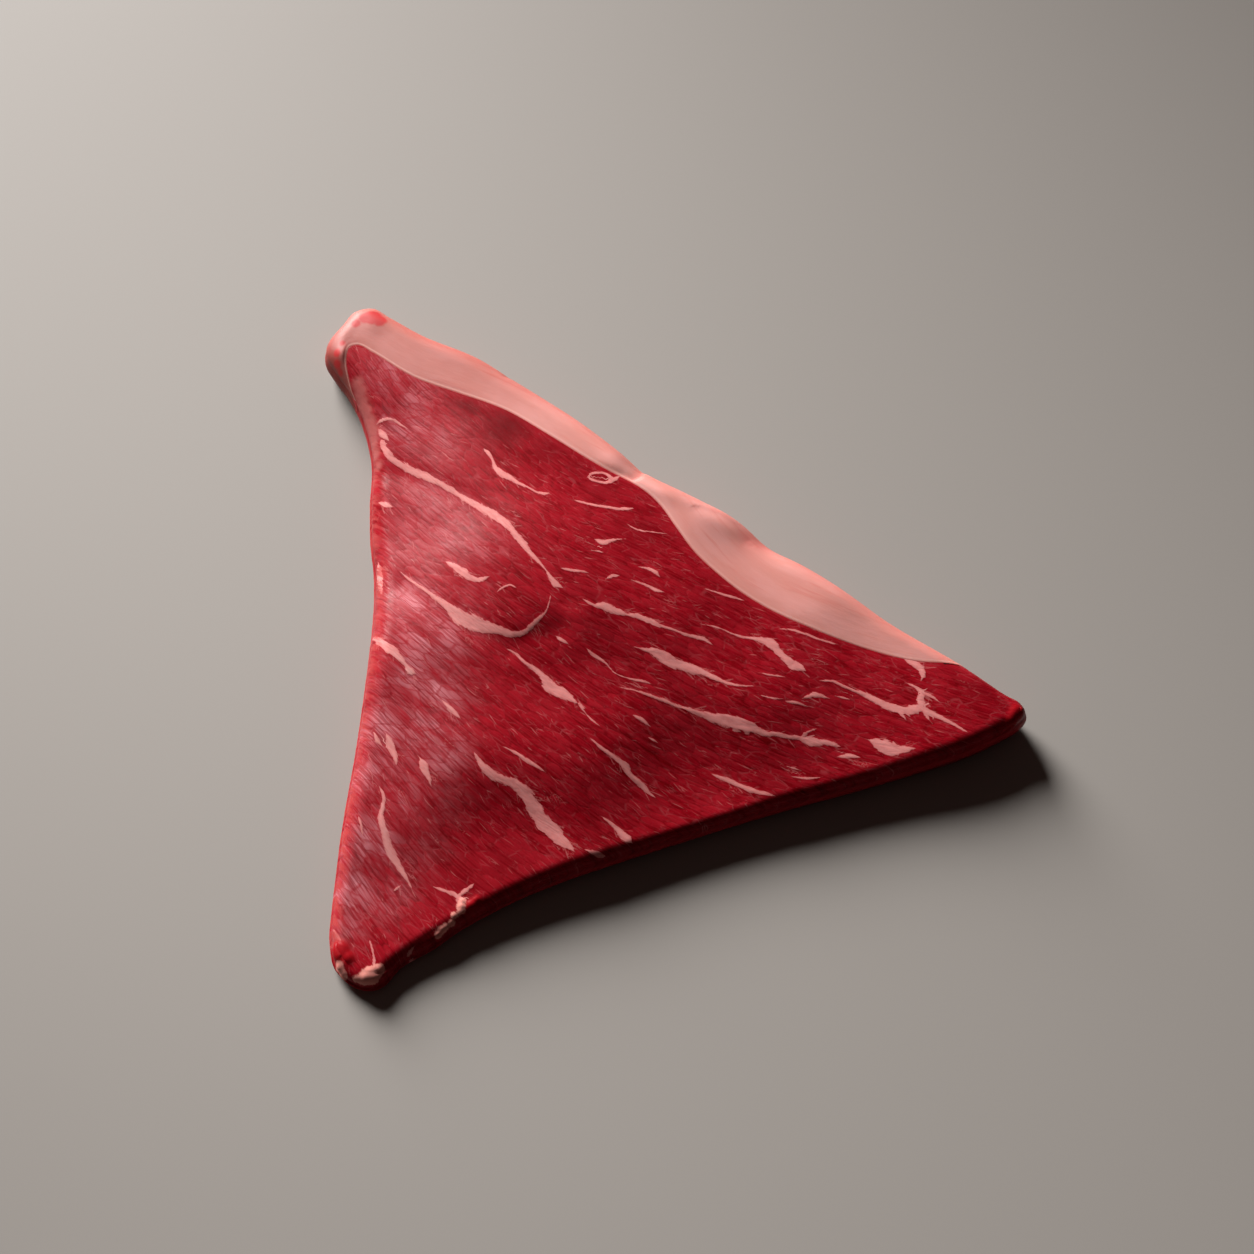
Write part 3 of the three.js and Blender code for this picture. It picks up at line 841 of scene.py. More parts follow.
def makeLean():
    points, pattern, faces = leanMesh()
    piece = addObject("lean_meat", points, faces)
    plan, depth = pattern[:, :2], pattern[:, 2]
    seen = points[:, :2]
    besideFat = awayFrom(fatLine[fatFrom:fatTo], seen)
    least = lean["holdLeast"]
    beside = least + (1 - least) * ease(besideFat, *lean["holdBeside"])
    addLayers(piece, {
        "fibres": fibresAt(plan, depth),
        "streak": big.read(plan),
        "dash": small.read(plan),
        "paintedSheen": spotsNear(seen, paintedSheenSpots),
        "calm": spotsNear(seen, calmSpots),
        "fatBit": bitsNear(points, fatBits),
        "redBit": bitsNear(points, redBits),
        "skinBit": bitsNear(points, skinBits),
        "blunt": awayFrom(outline[bluntAt:footAt], seen),
        "depth": depth,
        "besideFat": besideFat,
        "hold": ease(points[:, 2], *lean["holdRise"]) * beside,
    })
    print("lean:", len(points), "points")
    return piece


# the fat cap
fat = {
    "stations": 640,
    "proud": 0.3,  # mm above the lean
    "lip": 3.0,  # mm over which it rises
    "sink": 0.5,  # its edge starts this far below the lean's top
    "overlap": 0.35,  # mm that it reaches in past the lean's edge
    "acrossTop": 30,
    "wallRows": 24,
    "underInsets": [0, 0.15, 0.5, 1.1, 2.0, 3.2, 5.0],
    "underRows": 5,
    "innerRows": 4,
    "underShare": 0.9,  # of a narrow stretch's width that the underside's rows take
    "reliefFrom": 2.5,  # mm from the lean at which folds and swells are full
    "foldShadeFull": 1.3,  # mm deep for the full painted shade in a fold
    "foldSamples": 30,
    "holdRise": (0.3, 3),  # mm above the ground
    "holdLip": (0, 3),  # mm from the lean
    # where the cap's inner line stands across from its outer line
    "facing": [
        ((-112, 94), (-116, 99)), ((-113, 109.5), (-119.5, 119)), ((-110, 110.3), (-113.5, 128.5)),
        ((-104, 106.5), (-101, 127)), ((-89, 95.5), (-84, 116.7)), ((-72, 87.5), (-62, 105)),
        ((-39, 68), (-28, 79)), ((-6.4, 45.6), (0.5, 53.5)), ((6, 29), (18, 44)),
        ((20, 11), (38.5, 29.5)), ((39, -3.2), (52, 19)), ((63, -13.9), (76, -0.5)),
        ((88, -21), (94, -14)),
    ],
}
# red and pink patches on the fat of the neck end: pixel x, pixel y, radius mm
neckMeat = [
    (372, 315, 4.0), (364, 317, 3.0), (381, 318, 3.0), (357, 321, 2.2), (342, 341, 1.4),
    (335, 352, 2.0), (335, 364, 2.2), (338, 374, 1.8),
]
# folds in the cap: pixels down each, depth, half width before it and half width beyond it, mm
folds = [
    ([(646, 470), (638, 477), (630, 480), (623, 479)], 0.7, 3.4, 1.3),
    ([(700, 508), (720, 516), (738, 527), (748, 540)], 0.4, 3.2, 0.9),
]
fatSwells = [
    (727, 516, 8, 0.9), (758, 541, 6, -0.9), (668, 492, 7, 0.6), (618, 462, 6, 0.7), (341, 356, 3.5, 0.8),
    (372, 325, 5, 0.5), (507, 377, 1.4, -0.5),
]


def leftOf(line, points):
    # mm to the left of a line that runs down the picture, less than nothing to its right
    near = nearest(line, points)
    way = np.gradient(line, axis=0)[near]
    off = points - line[near]
    return way[:, 1] * off[:, 0] - way[:, 0] * off[:, 1]


def fatRelief(points):
    z = np.zeros(len(points))
    for pixels, depth, before, beyond in folds:
        line = evenly(throughPixels(pixels), fat["foldSamples"])
        side = leftOf(line, points)
        off = awayFrom(line, points)
        z -= depth * bell(off, np.where(side > 0, before, beyond))
    for px, py, radius, height in fatSwells:
        x, y = throughPixels([(px, py)])[0]
        z += height * spot(points, x, y, radius)
    return z


def capLines():
    # inner and outer line of the cap, point for point across from each other
    inner = fatLine[fatFrom:fatTo + 1]
    outer = outline[bluntAt:farAt - 1:-1]
    outer = np.vstack([inner[:1], outer[1:-1], inner[-1:]])
    innerAlong, outerAlong = lengthAlong(inner), lengthAlong(outer)
    pairs = np.array(fat["facing"], float)
    innerKeys = np.r_[0, innerAlong[nearest(inner, pairs[:, 0])], innerAlong[-1]]
    outerKeys = np.r_[0, outerAlong[nearest(outer, pairs[:, 1])], outerAlong[-1]]
    keys = (innerKeys + outerKeys) / 2
    wanted = np.linspace(keys[0], keys[-1], fat["stations"] + 2)[1:-1]
    return (atLengths(inner, np.interp(wanted, keys, innerKeys)),
            atLengths(outer, np.interp(wanted, keys, outerKeys)), wanted)


def fatMesh():
    inner, outer, along = capLines()
    width = np.linalg.norm(outer - inner, axis=1)
    across = (outer - inner) / width[:, None]
    normal = outwards(outer, closed=False)
    normal *= np.sign((normal * across).sum(1))[:, None]
    reach = lumpReach(outer)[:, None]
    rows, place = [], []

    def addRow(plan, z, t):
        rows.append(np.column_stack([plan, z]))
        place.append(np.column_stack([along, t, width - t]))

    for k in range(fat["acrossTop"] + 1):
        share = 0.5 - 0.5 * math.cos(math.pi * k / fat["acrossTop"])
        t = share * (width + fat["overlap"]) - fat["overlap"]
        q = inner + across * t[:, None]
        hidden = np.sqrt(np.clip((t + fat["overlap"]) / fat["overlap"], 0, 1)) - 1
        rise = fat["sink"] * hidden + fat["proud"] * (1 - np.exp(-np.maximum(t, 0) / fat["lip"]))
        spread = normal * reach * bell(width - t, form["lumpFade"])[:, None]
        rise = rise * np.minimum(1, width / fat["lip"]) + fatRelief(q) * ease(t, 0, fat["reliefFrom"])
        addRow(q + spread, topHeight(q) + rise, t)
    topZ, lowZ = rows[-1][:, 2], undersideHeight(outer)
    for row in range(1, fat["wallRows"]):
        share = 1 - row / fat["wallRows"]
        q = outer + normal * (reach + form["wallBulge"] * math.sin(math.pi * share))
        z = lowZ + (topZ - lowZ) * share
        addRow(q, z, width + topZ - z)
    deepest = fat["underInsets"][-1]
    broad = width > 2 * deepest
    for inset in fat["underInsets"]:
        narrow = np.minimum(inset, width * fat["underShare"] * inset / deepest)
        t = np.where(broad, inset, narrow)
        q = outer - across * t[:, None]
        spread = normal * reach * bell(inset, form["lumpFade"])
        addRow(q + spread, undersideHeight(q), width + topZ + inset)
    last = width - np.where(broad, deepest, width * fat["underShare"])
    for row in range(1, fat["underRows"] + 1):
        q = inner + across * (last * (1 - row / fat["underRows"]))[:, None]
        addRow(q, undersideHeight(q), 2 * width + topZ)
    start, end = rows[-1], rows[0]
    for row in range(1, fat["innerRows"]):
        share = row / fat["innerRows"]
        between = start * (1 - share) + end * share
        addRow(between[:, :2], between[:, 2], np.full(len(inner), -1.0))
    points = np.stack(rows, 1)
    count, loop = points.shape[:2]
    numbers = np.arange(count * loop).reshape(count, loop)
    low, high = numbers[:-1], numbers[1:]
    faces = np.stack([low, high, np.roll(high, -1, 1), np.roll(low, -1, 1)], 2).reshape(-1, 4)
    ends = [numbers[0][None, ::-1], numbers[-1][None]]
    points = points.reshape(-1, 3)
    a, b, c = (points[faces[:, k]] for k in (0, 1, 2))
    if np.einsum("ij,ij->", a, np.cross(b, c)) < 0:
        faces, ends = faces[:, ::-1], [end[:, ::-1] for end in ends]
    return points, np.stack(place, 1).reshape(-1, 3), [faces, *ends]


def makeFat():
    points, place, faces = fatMesh()
    piece = addObject("fat_layer", points, faces)
    addLayers(piece, {
        "fibres": place * [1, 1, 0],
        "lipSide": place[:, 1],
        "rimSide": place[:, 2],
        "redBit": bitsNear(points, neckMeat),
        # painted shade: darker, redder colour in the cap's folds and dents
        "foldShade": np.clip(-fatRelief(points[:, :2]) / fat["foldShadeFull"], 0, 1),
        "hold": ease(points[:, 2], *fat["holdRise"]) * ease(place[:, 1], *fat["holdLip"]),
    })
    print("fat:", len(points), "points")
    return piece


# small helpers that build node trees, for geometry and for materials alike


def feed(tree, socket, value):
    if isinstance(value, bpy.types.NodeSocket):
        tree.links.new(value, socket)
    elif value is not None:
        socket.default_value = value


def node(tree, kind, feeds=None, **settings):
    made = tree.nodes.new(kind)
    for key, value in settings.items():
        setattr(made, key, value)
    for socket, value in (feeds or {}).items():
        feed(tree, made.inputs[socket], value)
    return made


def calc(tree, operation, *values, clamp=False):
    made = node(tree, "ShaderNodeMath", dict(enumerate(values)), operation=operation, use_clamp=clamp)
    return made.outputs[0]


def times(tree, *values, clamp=False):
    return calc(tree, "MULTIPLY", *values, clamp=clamp)


def rest(tree, share, clamp=False):
    return calc(tree, "SUBTRACT", 1.0, share, clamp=clamp)


def centred(tree, value):
    # a noise that runs from 0 to 1, moved to lie about 0
    return calc(tree, "SUBTRACT", value, 0.5)


def parts(tree, vector):
    return node(tree, "ShaderNodeSeparateXYZ", {0: vector}).outputs


def vectorCalc(tree, operation, *values):
    made = node(tree, "ShaderNodeVectorMath", dict(enumerate(values)), operation=operation)
    return made.outputs["Vector"]


def remap(tree, value, low, high, toLow=0.0, toHigh=1.0, smooth=True):
    feeds = {"Value": value, "From Min": low, "From Max": high, "To Min": toLow, "To Max": toHigh}
    kind = "SMOOTHSTEP" if smooth else "LINEAR"
    return node(tree, "ShaderNodeMapRange", feeds, interpolation_type=kind).outputs["Result"]


def noise(tree, vector, scale=1.0, detail=2.0, roughness=0.5, distortion=0.0, output=0):
    feeds = {"Vector": vector, "Scale": scale, "Detail": detail, "Roughness": roughness}
    feeds["Distortion"] = distortion
    return node(tree, "ShaderNodeTexNoise", feeds).outputs[output]


def stretched(tree, fibres, length, width, shift=0.0):
    # coordinates in which one unit is so many mm along and across the fibres
    moved = vectorCalc(tree, "ADD", fibres, (shift * length, shift * width, shift))
    return vectorCalc(tree, "MULTIPLY", moved, (1 / length, 1 / width, 0.1))


def swayed(tree, fibres, over, by):
    # the same coordinates, pushed about by a wave so many mm long
    shrunk = vectorCalc(tree, "MULTIPLY", fibres, (1 / over,) * 3)
    wave = noise(tree, shrunk, output=1)
    push = vectorCalc(tree, "MULTIPLY", vectorCalc(tree, "SUBTRACT", wave, (0.5, 0.5, 0.5)), by)
    return vectorCalc(tree, "ADD", fibres, push)


def cells(tree, vector, feature):
    return node(tree, "ShaderNodeTexVoronoi", {"Vector": vector, "Scale": 1.0}, feature=feature)


bundle = {
    "length": 6.5,  # mm
    "width": 2.0,
    "swayOver": 9,
    "sway": (6, 1.9, 0),
}


def bundleCells(tree, fibres, feature):
    # the mosaic of fibre bundles, the same in the relief and in the colour
    moved = swayed(tree, fibres, bundle["swayOver"], bundle["sway"])
    return cells(tree, stretched(tree, moved, bundle["length"], bundle["width"]), feature)


def insideStreak(tree, streak, teeth=None, least=0.0, more=0.0):
    # mm inside the edge of a streak whose vector is side, half width, place along;
    # teeth eat into the edge, deeper where the streak is wide
    side, half, _ = parts(tree, streak)
    value = calc(tree, "SUBTRACT", half, calc(tree, "ABSOLUTE", side))
    if teeth is None:
        return value
    reach = calc(tree, "MULTIPLY_ADD", calc(tree, "MAXIMUM", half, 0.0), more, least)
    return calc(tree, "MULTIPLY_ADD", teeth, reach, value)


def turned(tree, fibres, degrees):
    # the fibres' own coordinates, turned in their plane
    c, s = math.cos(math.radians(degrees)), math.sin(math.radians(degrees))
    x, y, z = parts(tree, fibres)
    along = calc(tree, "MULTIPLY_ADD", x, c, times(tree, y, s))
    across = calc(tree, "MULTIPLY_ADD", y, c, times(tree, x, -s))
    return node(tree, "ShaderNodeCombineXYZ", {0: along, 1: across, 2: z}).outputs[0]


def reliefTree():
    tree = bpy.data.node_groups.new("meatRelief", "GeometryNodeTree")
    tree.interface.new_socket("Geometry", in_out="INPUT", socket_type="NodeSocketGeometry")
    for name in ("Bundle Relief", "Grain Relief", "Long Relief", "Streak Rise", "Bit Rise"):
        tree.interface.new_socket(name, in_out="INPUT", socket_type="NodeSocketFloat")
    tree.interface.new_socket("Material", in_out="INPUT", socket_type="NodeSocketMaterial")
    tree.interface.new_socket("Geometry", in_out="OUTPUT", socket_type="NodeSocketGeometry")
    given = node(tree, "NodeGroupInput").outputs
    result = node(tree, "NodeGroupOutput")

    def layer(name, kind):
        return node(tree, "GeometryNodeInputNamedAttribute", {"Name": name}, data_type=kind).outputs[0]

    fibres = layer("fibres", "FLOAT_VECTOR")
    distance = bundleCells(tree, fibres, "SMOOTH_F1").outputs["Distance"]
    bundles = times(tree, remap(tree, distance, 0.15, 0.7, 0.5, -0.5), given["Bundle Relief"])
    fine = noise(tree, stretched(tree, fibres, 6, 1.1), detail=1.0)
    grainRelief = times(tree, centred(tree, fine), given["Grain Relief"])
    long = noise(tree, stretched(tree, fibres, 26, 11, 3.0), detail=2.0)
    longRelief = times(tree, centred(tree, long), given["Long Relief"])
    streaks = remap(tree, insideStreak(tree, layer("streak", "FLOAT_VECTOR")), -0.35, 0.6)
    streakRise = times(tree, streaks, given["Streak Rise"])
    bits = calc(tree, "MAXIMUM", layer("fatBit", "FLOAT"), layer("redBit", "FLOAT"))
    bitRise = times(tree, remap(tree, bits, 0.0, 2.6), given["Bit Rise"])
    height = calc(tree, "ADD", bundles, grainRelief)
    height = calc(tree, "ADD", height, calc(tree, "ADD", longRelief, streakRise))
    height = times(tree, calc(tree, "ADD", height, bitRise), layer("hold", "FLOAT"))
    normal = node(tree, "GeometryNodeInputNormal").outputs[0]
    offset = node(tree, "ShaderNodeVectorMath", {0: normal}, operation="SCALE")
    feed(tree, offset.inputs["Scale"], times(tree, height, mm))
    moved = node(tree, "GeometryNodeSetPosition", {
        "Geometry": given["Geometry"], "Offset": offset.outputs[0],
    })
    real = node(tree, "GeometryNodeRealizeInstances", {0: moved.outputs[0]})
    dressed = node(tree, "GeometryNodeSetMaterial", {
        "Geometry": real.outputs[0], "Material": given["Material"],
    })
    tree.links.new(dressed.outputs[0], result.inputs[0])
    return tree


meatRelief = reliefTree()


def dress(piece, values):
    # run the relief on a piece and keep the result as its plain mesh
    modifier = piece.modifiers.new("meatRelief", "NODES")
    modifier.node_group = meatRelief
    for item in meatRelief.interface.items_tree:
        if item.in_out == "INPUT" and item.name in values:
            modifier[item.identifier] = values[item.name]
    graph = bpy.context.evaluated_depsgraph_get()
    mesh = bpy.data.meshes.new_from_object(
        piece.evaluated_get(graph), preserve_all_data_layers=True, depsgraph=graph,
    )
    piece.modifiers.clear()
    piece.data = mesh
    mesh.shade_smooth()


# materials
def startMaterial(name, **values):
    material = bpy.data.materials.new(name)
    material.use_nodes = True
    shader = material.node_tree.nodes["Principled BSDF"]
    for socket, value in values.items():
        shader.inputs[socket.replace("_", " ")].default_value = value
    return material, material.node_tree, shader


def layerOf(tree, name, output="Vector"):
    return node(tree, "ShaderNodeAttribute", attribute_name=name).outputs[output]


def blend(tree, factor, first, second, mode="MIX"):
    made = tree.nodes.new("ShaderNodeMix")
    made.data_type = "RGBA"
    made.blend_type = mode
    for socket, value in ((made.inputs[0], factor), (made.inputs[6], first), (made.inputs[7], second)):
        feed(tree, socket, value)
    return made.outputs[2]


def opaque(colours):
    return {key: (*value, 1) for key, value in colours.items()}


def addBump(tree, shader, height, strength, distance):
    made = node(tree, "ShaderNodeBump", {"Height": height, "Strength": strength, "Distance": distance})
    feed(tree, shader.inputs["Normal"], made.outputs[0])


def ramp(tree, value, stops):
    made = node(tree, "ShaderNodeValToRGB", {"Fac": value})
    elements = made.color_ramp.elements
    for i, (place, colour) in enumerate(stops):
        element = elements[i] if i < 2 else elements.new(place)
        element.position = place
        element.color = (*colour, 1)
    return made.outputs["Color"]


leanLook = {
    "deep": (0.175, 0.0006, 0.0035),
    "red": (0.245, 0.0018, 0.0075),
    "bright": (0.31, 0.007, 0.015),
    "calm": (0.105, 0.0004, 0.0025),
    "fresh": (0.30, 0.010, 0.018),  # a brighter red: painted sheen under the pale painted sheen, and also the fibres' faint lines
    "gap": (0.12, 0.0005, 0.002),
    "sheath": (0.38, 0.075, 0.085),  # the thin skin round each bundle
    "fatRight": (0.62, 0.225, 0.215),
    # streak fat paler under the painted sheen: painted sheen
    "fatUnderSheen": (0.60, 0.26, 0.25),
    "fatShade": (0.48, 0.12, 0.12),
    # painted sheen, pale and pinkish
    "paintedSheen": (0.52, 0.17, 0.195),
    # painted light: the rounded blunt side paler and warmer
    "rim": (0.34, 0.04, 0.04),
    "paintedSideLight": (0.45, 0.02, 0.028),  # painted light on the upper edge of the cut side
    # painted shade on the lower part of the sides
    "paintedSideShade": (0.13, 0.003, 0.006),
    "bareRed": (0.28, 0.004, 0.008),
    "bitFat": (0.70, 0.27, 0.23),
    "skin": (0.38, 0.10, 0.095),
}


leanNoise = {
    # mm along the fibres, mm across them, place in the noise
    "blotch": (11, 5, 0),
    "mottle": (2.6, 1.2, 5),
    "hair": (6, 0.5, 7),
    "patchy": (6, 3.4, 9),
    "lines": (14, 0.55, 14),
    "creases": (8, 3, 24),
    "sheenBlotch": (12, 4.5, 4),
    "teeth": (4.2, 1.2, 15),
    "fatBlotch": (3.5, 1.6, 20),
    "rim": (6, 1.4, 30),
}
threadKinds = {
    # mm along, mm across, place in the noise, waviness, thickness, how its pieces are cut
    "coarse": (9, 2, 2, 0.12, 0.017, 0.54, 0.62),
    "fine": (6, 1.1, 31, 0.15, 0.026, 0.56, 0.63),
}
leanShare = {
    "tone": 0.26,  # how far one bundle differs from the next
    "blotch": 0.5,
    "mottle": 0.65,
    "hair": 0.3,
    "calm": 0.9,
    # share of the brighter red painted under the painted sheen
    "fresh": 0.4,
    "sheath": 0.36,
    "coarse": 0.32,
    "fine": 0.2,
    "lines": 0.42,
    "linesLeast": 0.04,
    "paintedSheen": 0.85,
    "dashes": 0.42,
    "streaksOnSide": -0.95,  # what a cut side takes off them
    # share of the painted shade on the lower sides
    "paintedSideShade": 0.55,
    "sheenGloss": 0.06,
}
leanBump = {
    "hair": 0.3, "mottle": 0.45, "bundles": 0.3, "lines": 0.4, "fat": 0.35,
    "strength": 0.35,
    "distance": 0.0002,  # m
}
crease = {
    "turn": 17,  # degrees off the fibres
    "swayOver": 6.25,  # mm
    "sway": (5, 5, 0),
}
leanBits = (
    # layer, colour, mm inside it where it starts and is full, most
    ("skinBit", "skin", -1.2, 2.0, 0.8),
    ("redBit", "bareRed", -0.3, 1.4, 0.85),
    ("fatBit", "bitFat", -0.1, 0.6, 0.9),
)
bitWobble = 1.8  # mm by which the mottle moves their edges


def threads(tree, fibres, length, width, shift, bend, thin, low, high):
    # slightly wavy lines along the fibres, broken into pieces
    wavy = noise(tree, stretched(tree, fibres, length, width, shift), distortion=bend)
    line = remap(tree, calc(tree, "ABSOLUTE", centred(tree, wavy)), thin * 0.25, thin, 1.0, 0.0)
    pieces = noise(tree, stretched(tree, fibres, length * 0.7, width * 1.6, shift + 10), detail=1.0)
    return times(tree, line, remap(tree, pieces, low, high))


def leanMaterial():
    look = opaque(leanLook)
    material, tree, shader = startMaterial(
        "lean_meat", Subsurface_Weight=0.1, Subsurface_Scale=0.0012, Subsurface_Radius=(1.0, 0.25, 0.2),
        Specular_IOR_Level=0.05,
    )
    fibres = layerOf(tree, "fibres")
    paintedSheen, calm, depth, blunt, besideFat = (
        layerOf(tree, name, "Fac") for name in ("paintedSheen", "calm", "depth", "blunt", "besideFat")
    )
    lively = rest(tree, calm, clamp=True)

    def along(name, **more):
        return noise(tree, stretched(tree, fibres, *leanNoise[name]), **more)

    tone = parts(tree, bundleCells(tree, fibres, "F1").outputs["Color"])[0]
    border = bundleCells(tree, fibres, "DISTANCE_TO_EDGE").outputs["Distance"]
    blotch = along("blotch")
    mottle = along("mottle", detail=3.0, roughness=0.65)
    hair = along("hair", roughness=0.6)
    value = 0.5
    for name, layer in (("tone", tone), ("blotch", blotch), ("mottle", mottle), ("hair", hair)):
        value = calc(tree, "MULTIPLY_ADD", centred(tree, layer), leanShare[name], value)
    colour = ramp(tree, value, [
        (0.30, leanLook["deep"]), (0.72, leanLook["bright"]), (0.50, leanLook["red"]),
    ])
    colour = blend(tree, times(tree, calm, leanShare["calm"]), colour, look["calm"])
    besideRed = remap(tree, besideFat, 0.5, 4.0, 0.3, 0.0)
    colour = blend(tree, besideRed, colour, look["bright"])
    # painted sheen: a brighter red where the painted sheen lies
    colour = blend(tree, times(tree, paintedSheen, leanShare["fresh"]), colour, look["fresh"])

    # a thin pale line where two bundles meet, here and there, and wavy threads
    patchy = remap(tree, along("patchy"), 0.46, 0.62)
    sheath = times(tree, remap(tree, border, 0.01, 0.07, 1.0, 0.0), patchy)
    gap = times(tree, remap(tree, border, 0.0, 0.1, 0.5, 0.0), rest(tree, patchy))
    colour = blend(tree, times(tree, gap, lively), colour, look["gap"])
    pale = times(tree, sheath, leanShare["sheath"])
    for name, kind in threadKinds.items():
        pale = calc(tree, "MAXIMUM", pale, times(tree, threads(tree, fibres, *kind), leanShare[name]))
    colour = blend(tree, times(tree, pale, lively), colour, look["sheath"])

    # the fibres themselves: faint fine lines
    lines = remap(tree, along("lines", detail=0.0), 0.42, 0.56)
    lineShare = calc(tree, "MULTIPLY_ADD", lively, leanShare["lines"], leanShare["linesLeast"])
    colour = blend(tree, times(tree, lines, lineShare), colour, look["fresh"])

    # the painted sheen: the same lines, cut into long patches by creases that run aslant
    moved = turned(tree, swayed(tree, fibres, crease["swayOver"], crease["sway"]), crease["turn"])
    aslant = stretched(tree, moved, *leanNoise["creases"])
    patch = parts(tree, cells(tree, aslant, "F1").outputs["Color"])[0]
    toCrease = cells(tree, aslant, "DISTANCE_TO_EDGE").outputs["Distance"]
    sheenPatch = remap(tree, along("sheenBlotch", detail=3.0), 0.36, 0.6, 0.1, 0.75)
    sheenPatch = calc(tree, "MULTIPLY_ADD", patch, 0.45, sheenPatch)
    sheenMask = times(tree, times(tree, paintedSheen, sheenPatch), remap(tree, toCrease, 0.01, 0.11, 0.45, 1.0))
    sheenMask = times(tree, sheenMask, remap(tree, lines, 0.0, 1.0, 0.45, 1.0, smooth=False))
    colour = blend(tree, times(tree, sheenMask, leanShare["paintedSheen"], clamp=True), colour, look["paintedSheen"])

    # the streaks of fat, with teeth along the fibres
    teeth = centred(tree, along("teeth", detail=3.5, roughness=0.6))
    bigInside = insideStreak(tree, layerOf(tree, "streak"), teeth, 0.8, 1.2)
    smallInside = insideStreak(tree, layerOf(tree, "dash"), teeth, 0.5, 0.0)
    bigFat = remap(tree, bigInside, -0.1, 0.1)
    smallFat = times(tree, remap(tree, smallInside, -0.12, 0.12), times(tree, lively, leanShare["dashes"]))
    onSide = remap(tree, depth, 0.2, 2.5)
    kept = calc(tree, "MULTIPLY_ADD", onSide, leanShare["streaksOnSide"], 1.0)
    streaky = times(tree, calc(tree, "MAXIMUM", bigFat, smallFat), kept)
    fatBlotch = along("fatBlotch", detail=4.0, roughness=0.6)
    # streaks paler where the painted sheen lies: painted sheen
    fatColour = blend(tree, paintedSheen, look["fatRight"], look["fatUnderSheen"])
    fatColour = blend(tree, remap(tree, fatBlotch, 0.42, 0.75, 0.0, 0.45), fatColour, look["fatShade"])
    thinness = remap(tree, bigInside, 0.0, 0.7, 0.6, 0.0)
    fatColour = blend(tree, thinness, fatColour, look["fatShade"])
    colour = blend(tree, streaky, colour, fatColour)

    # the sides: painted light along their upper edge, painted shade lower down, and painted light, paler and
    # warmer, on the rounded blunt side
    lowerSideShade = remap(tree, depth, 2.0, 6.0)
    paintedSideLight = times(tree, remap(tree, depth, 0.3, 1.5, 0.0, 0.6), rest(tree, lowerSideShade))
    colour = blend(tree, paintedSideLight, colour, look["paintedSideLight"])
    colour = blend(tree, times(tree, lowerSideShade, leanShare["paintedSideShade"]), colour, look["paintedSideShade"])
    bluntLightPatch = remap(tree, along("rim", detail=3.0), 0.42, 0.58)
    paintedBluntLight = times(tree, remap(tree, blunt, 0.5, 6.0, 0.9, 0.0), bluntLightPatch)
    colour = blend(tree, paintedBluntLight, colour, look["rim"])

    wobble = times(tree, centred(tree, mottle), bitWobble)
    for name, key, low, high, most in leanBits:
        near = remap(tree, calc(tree, "ADD", layerOf(tree, name, "Fac"), wobble), low, high)
        colour = blend(tree, times(tree, near, most), colour, look[key])
    feed(tree, shader.inputs["Base Color"], colour)

    roughness = remap(tree, mottle, 0.3, 0.7, 0.38, 0.3, smooth=False)
    roughness = calc(tree, "SUBTRACT", roughness, times(tree, sheenMask, leanShare["sheenGloss"]))
    feed(tree, shader.inputs["Roughness"], roughness)

    height = times(tree, hair, leanBump["hair"])
    for layer, share in (
        (mottle, leanBump["mottle"]),
        (remap(tree, border, 0.0, 0.2), times(tree, lively, leanBump["bundles"])),
        (lines, times(tree, paintedSheen, leanBump["lines"])),
        (streaky, leanBump["fat"]),
    ):
        height = calc(tree, "MULTIPLY_ADD", layer, share, height)
    addBump(tree, shader, height, leanBump["strength"], leanBump["distance"])
    return material


fatLook = {
    "pale": (0.585, 0.255, 0.23),
    "pink": (0.55, 0.22, 0.19),
    "salmon": (0.50, 0.125, 0.10),
    "neck": (0.76, 0.62, 0.60),  # painted shade: what the cap keeps of it near the neck, darker and redder
    "end": (0.70, 0.50, 0.50),  # and more painted shade at the very end
    # painted shade in the cap's folds and dents
    "foldShade": (0.46, 0.085, 0.07),
    # painted highlight: a pale line along the crest of the lip
    "lip": (0.66, 0.33, 0.29),
    "rim": (0.36, 0.055, 0.045),
    "edge": (0.42, 0.07, 0.06),
    "bareRed": (0.42, 0.02, 0.022),
}


fatNoise = {
    # mm along the cap, mm across it, place in the noise
    "cloud": (26, 9, 0),
    "vein": (24, 2.6, 6),
    "wobble": (4, 2, 3),
    "fine": (3.5, 1.4, 8),
}
fatBump = {
    "vein": 0.6, "fine": 0.4,
    "strength": 0.4,
    "distance": 0.0003,  # m
}


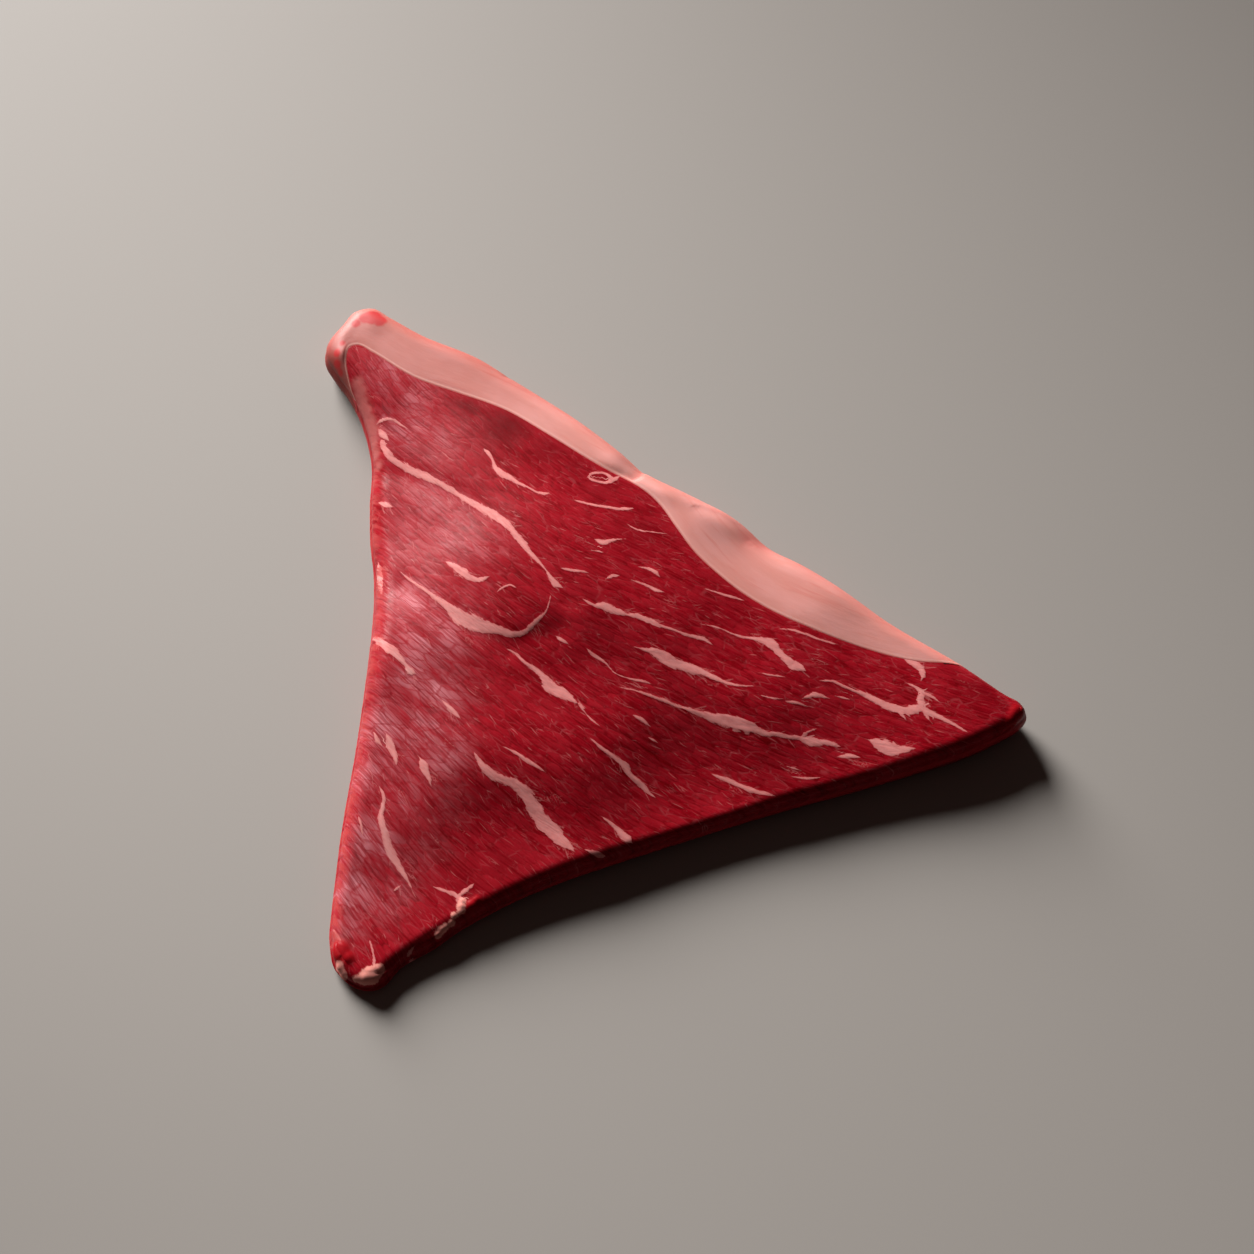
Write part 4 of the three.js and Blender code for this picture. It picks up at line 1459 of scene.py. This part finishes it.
def fatMaterial():
    look = opaque(fatLook)
    material, tree, shader = startMaterial(
        "fat_layer", Subsurface_Weight=0.25, Subsurface_Scale=0.0025, Subsurface_Radius=(1.0, 0.45, 0.35),
        Roughness=0.5, Specular_IOR_Level=0.15,
    )
    place = layerOf(tree, "fibres")
    lipSide, rimSide, foldShade, redBit = (
        layerOf(tree, name, "Fac") for name in ("lipSide", "rimSide", "foldShade", "redBit")
    )

    def along(name, **more):
        return noise(tree, stretched(tree, place, *fatNoise[name]), **more)

    cloud = along("cloud", detail=3.0)
    vein = along("vein", detail=3.0, distortion=0.4)
    wobble = times(tree, centred(tree, along("wobble")), 2.0)
    fromEnd = parts(tree, place)[0]
    rimWobble = calc(tree, "MULTIPLY_ADD", wobble, 0.4, rimSide)
    bitEdge = calc(tree, "MULTIPLY_ADD", wobble, 0.6, redBit)

    def fromLip(line, wide):
        # a thin line along the lip, so many mm out from the lean
        off = calc(tree, "ABSOLUTE", calc(tree, "SUBTRACT", lipSide, line))
        return remap(tree, off, 0.1, wide, 0.5, 0.0)

    colour = blend(tree, remap(tree, cloud, 0.38, 0.64), look["pale"], look["pink"])
    for share, key, mode in (
        (remap(tree, vein, 0.55, 0.78, 0.0, 0.55), "salmon", "MIX"),
        (remap(tree, calc(tree, "ADD", rimSide, wobble), 1.0, 8.0, 0.6, 0.0), "salmon", "MIX"),
        (remap(tree, rimWobble, -0.6, 1.4, 0.8, 0.0), "rim", "MIX"),
        # painted shade in the folds and dents
        (times(tree, foldShade, 0.8), "foldShade", "MIX"),
        (remap(tree, rimSide, -3.0, -11.0, 0.0, 0.5), "edge", "MIX"),
        # painted shade towards the neck and its end
        (remap(tree, fromEnd, 80, 140, 1.0, 0.0), "neck", "MULTIPLY"),
        (remap(tree, fromEnd, 18, 42, 1.0, 0.0), "end", "MULTIPLY"),
        # painted highlight along the crest of the lip
        (fromLip(0.9, 0.6), "lip", "MIX"),
        (fromLip(0.1, 0.5), "edge", "MIX"),
        (times(tree, remap(tree, bitEdge, -0.5, 1.0), 0.95), "bareRed", "MIX"),
    ):
        colour = blend(tree, share, colour, look[key], mode)
    feed(tree, shader.inputs["Base Color"], colour)
    fine = along("fine", detail=4.0, roughness=0.6)
    height = calc(tree, "ADD", times(tree, vein, fatBump["vein"]), times(tree, fine, fatBump["fine"]))
    addBump(tree, shader, height, fatBump["strength"], fatBump["distance"])
    return material


leanPiece = makeLean()
dress(leanPiece, {
    "Bundle Relief": 0.07, "Grain Relief": 0.04, "Long Relief": 0.25, "Streak Rise": 0.1, "Bit Rise": 0.7,
    "Material": leanMaterial(),
})
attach(leanPiece, "root")
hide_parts("lean")

fatPiece = makeFat()
dress(fatPiece, {
    "Bundle Relief": 0.0, "Grain Relief": 0.0, "Long Relief": 0.35, "Streak Rise": 0.0, "Bit Rise": 0.0,
    "Material": fatMaterial(),
})
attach(fatPiece, "root")
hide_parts("fat_cap")
print("pieces dressed")

stage = {
    "floor": (0.30, 0.281, 0.264),
    "floorSize": 6,  # m
    "floorDrop": 0.0002,
    "keyTurn": 33,  # degrees to the left of straight behind
    "keyHeight": 19.5,
    "keyDistance": 1.8,
    "keyAim": (-0.2, 0.15, 0),
    "keySize": 0.6,
    "keyCone": 44,
    "keyPower": 750,
    "keyColour": (1, 0.97, 0.94),
    "sky": (1, 0.62, 0.54),
    "skyStrength": 0.034,
}


def makeStage():
    bpy.ops.mesh.primitive_plane_add(size=stage["floorSize"], location=(0, 0, -stage["floorDrop"]))
    floor = bpy.context.object
    floor.name = "floor"
    material, _, shader = startMaterial("floor", Roughness=0.6, Specular_IOR_Level=0.15)
    shader.inputs["Base Color"].default_value = (*stage["floor"], 1)
    floor.data.materials.append(material)
    data = bpy.data.lights.new("key", "SPOT")
    data.shadow_soft_size = stage["keySize"]
    data.spot_size = math.radians(stage["keyCone"])
    data.spot_blend = 1
    data.energy = stage["keyPower"]
    data.color = stage["keyColour"]
    key = bpy.data.objects.new("key", data)
    turn, rise, far = math.radians(stage["keyTurn"]), math.radians(stage["keyHeight"]), stage["keyDistance"]
    away = Vector((-math.cos(rise) * math.sin(turn), math.cos(rise) * math.cos(turn), math.sin(rise)))
    key.location = away * far
    key.rotation_euler = (key.location - Vector(stage["keyAim"])).to_track_quat("Z", "Y").to_euler()
    bpy.context.scene.collection.objects.link(key)
    world = bpy.data.worlds.new("room")
    world.use_nodes = True
    sky = world.node_tree.nodes["Background"].inputs
    sky["Color"].default_value = (*stage["sky"], 1)
    sky["Strength"].default_value = stage["skyStrength"]
    bpy.context.scene.world = world
    bpy.context.scene.view_settings.view_transform = "Standard"


makeStage()
print("floor and lamp ready")
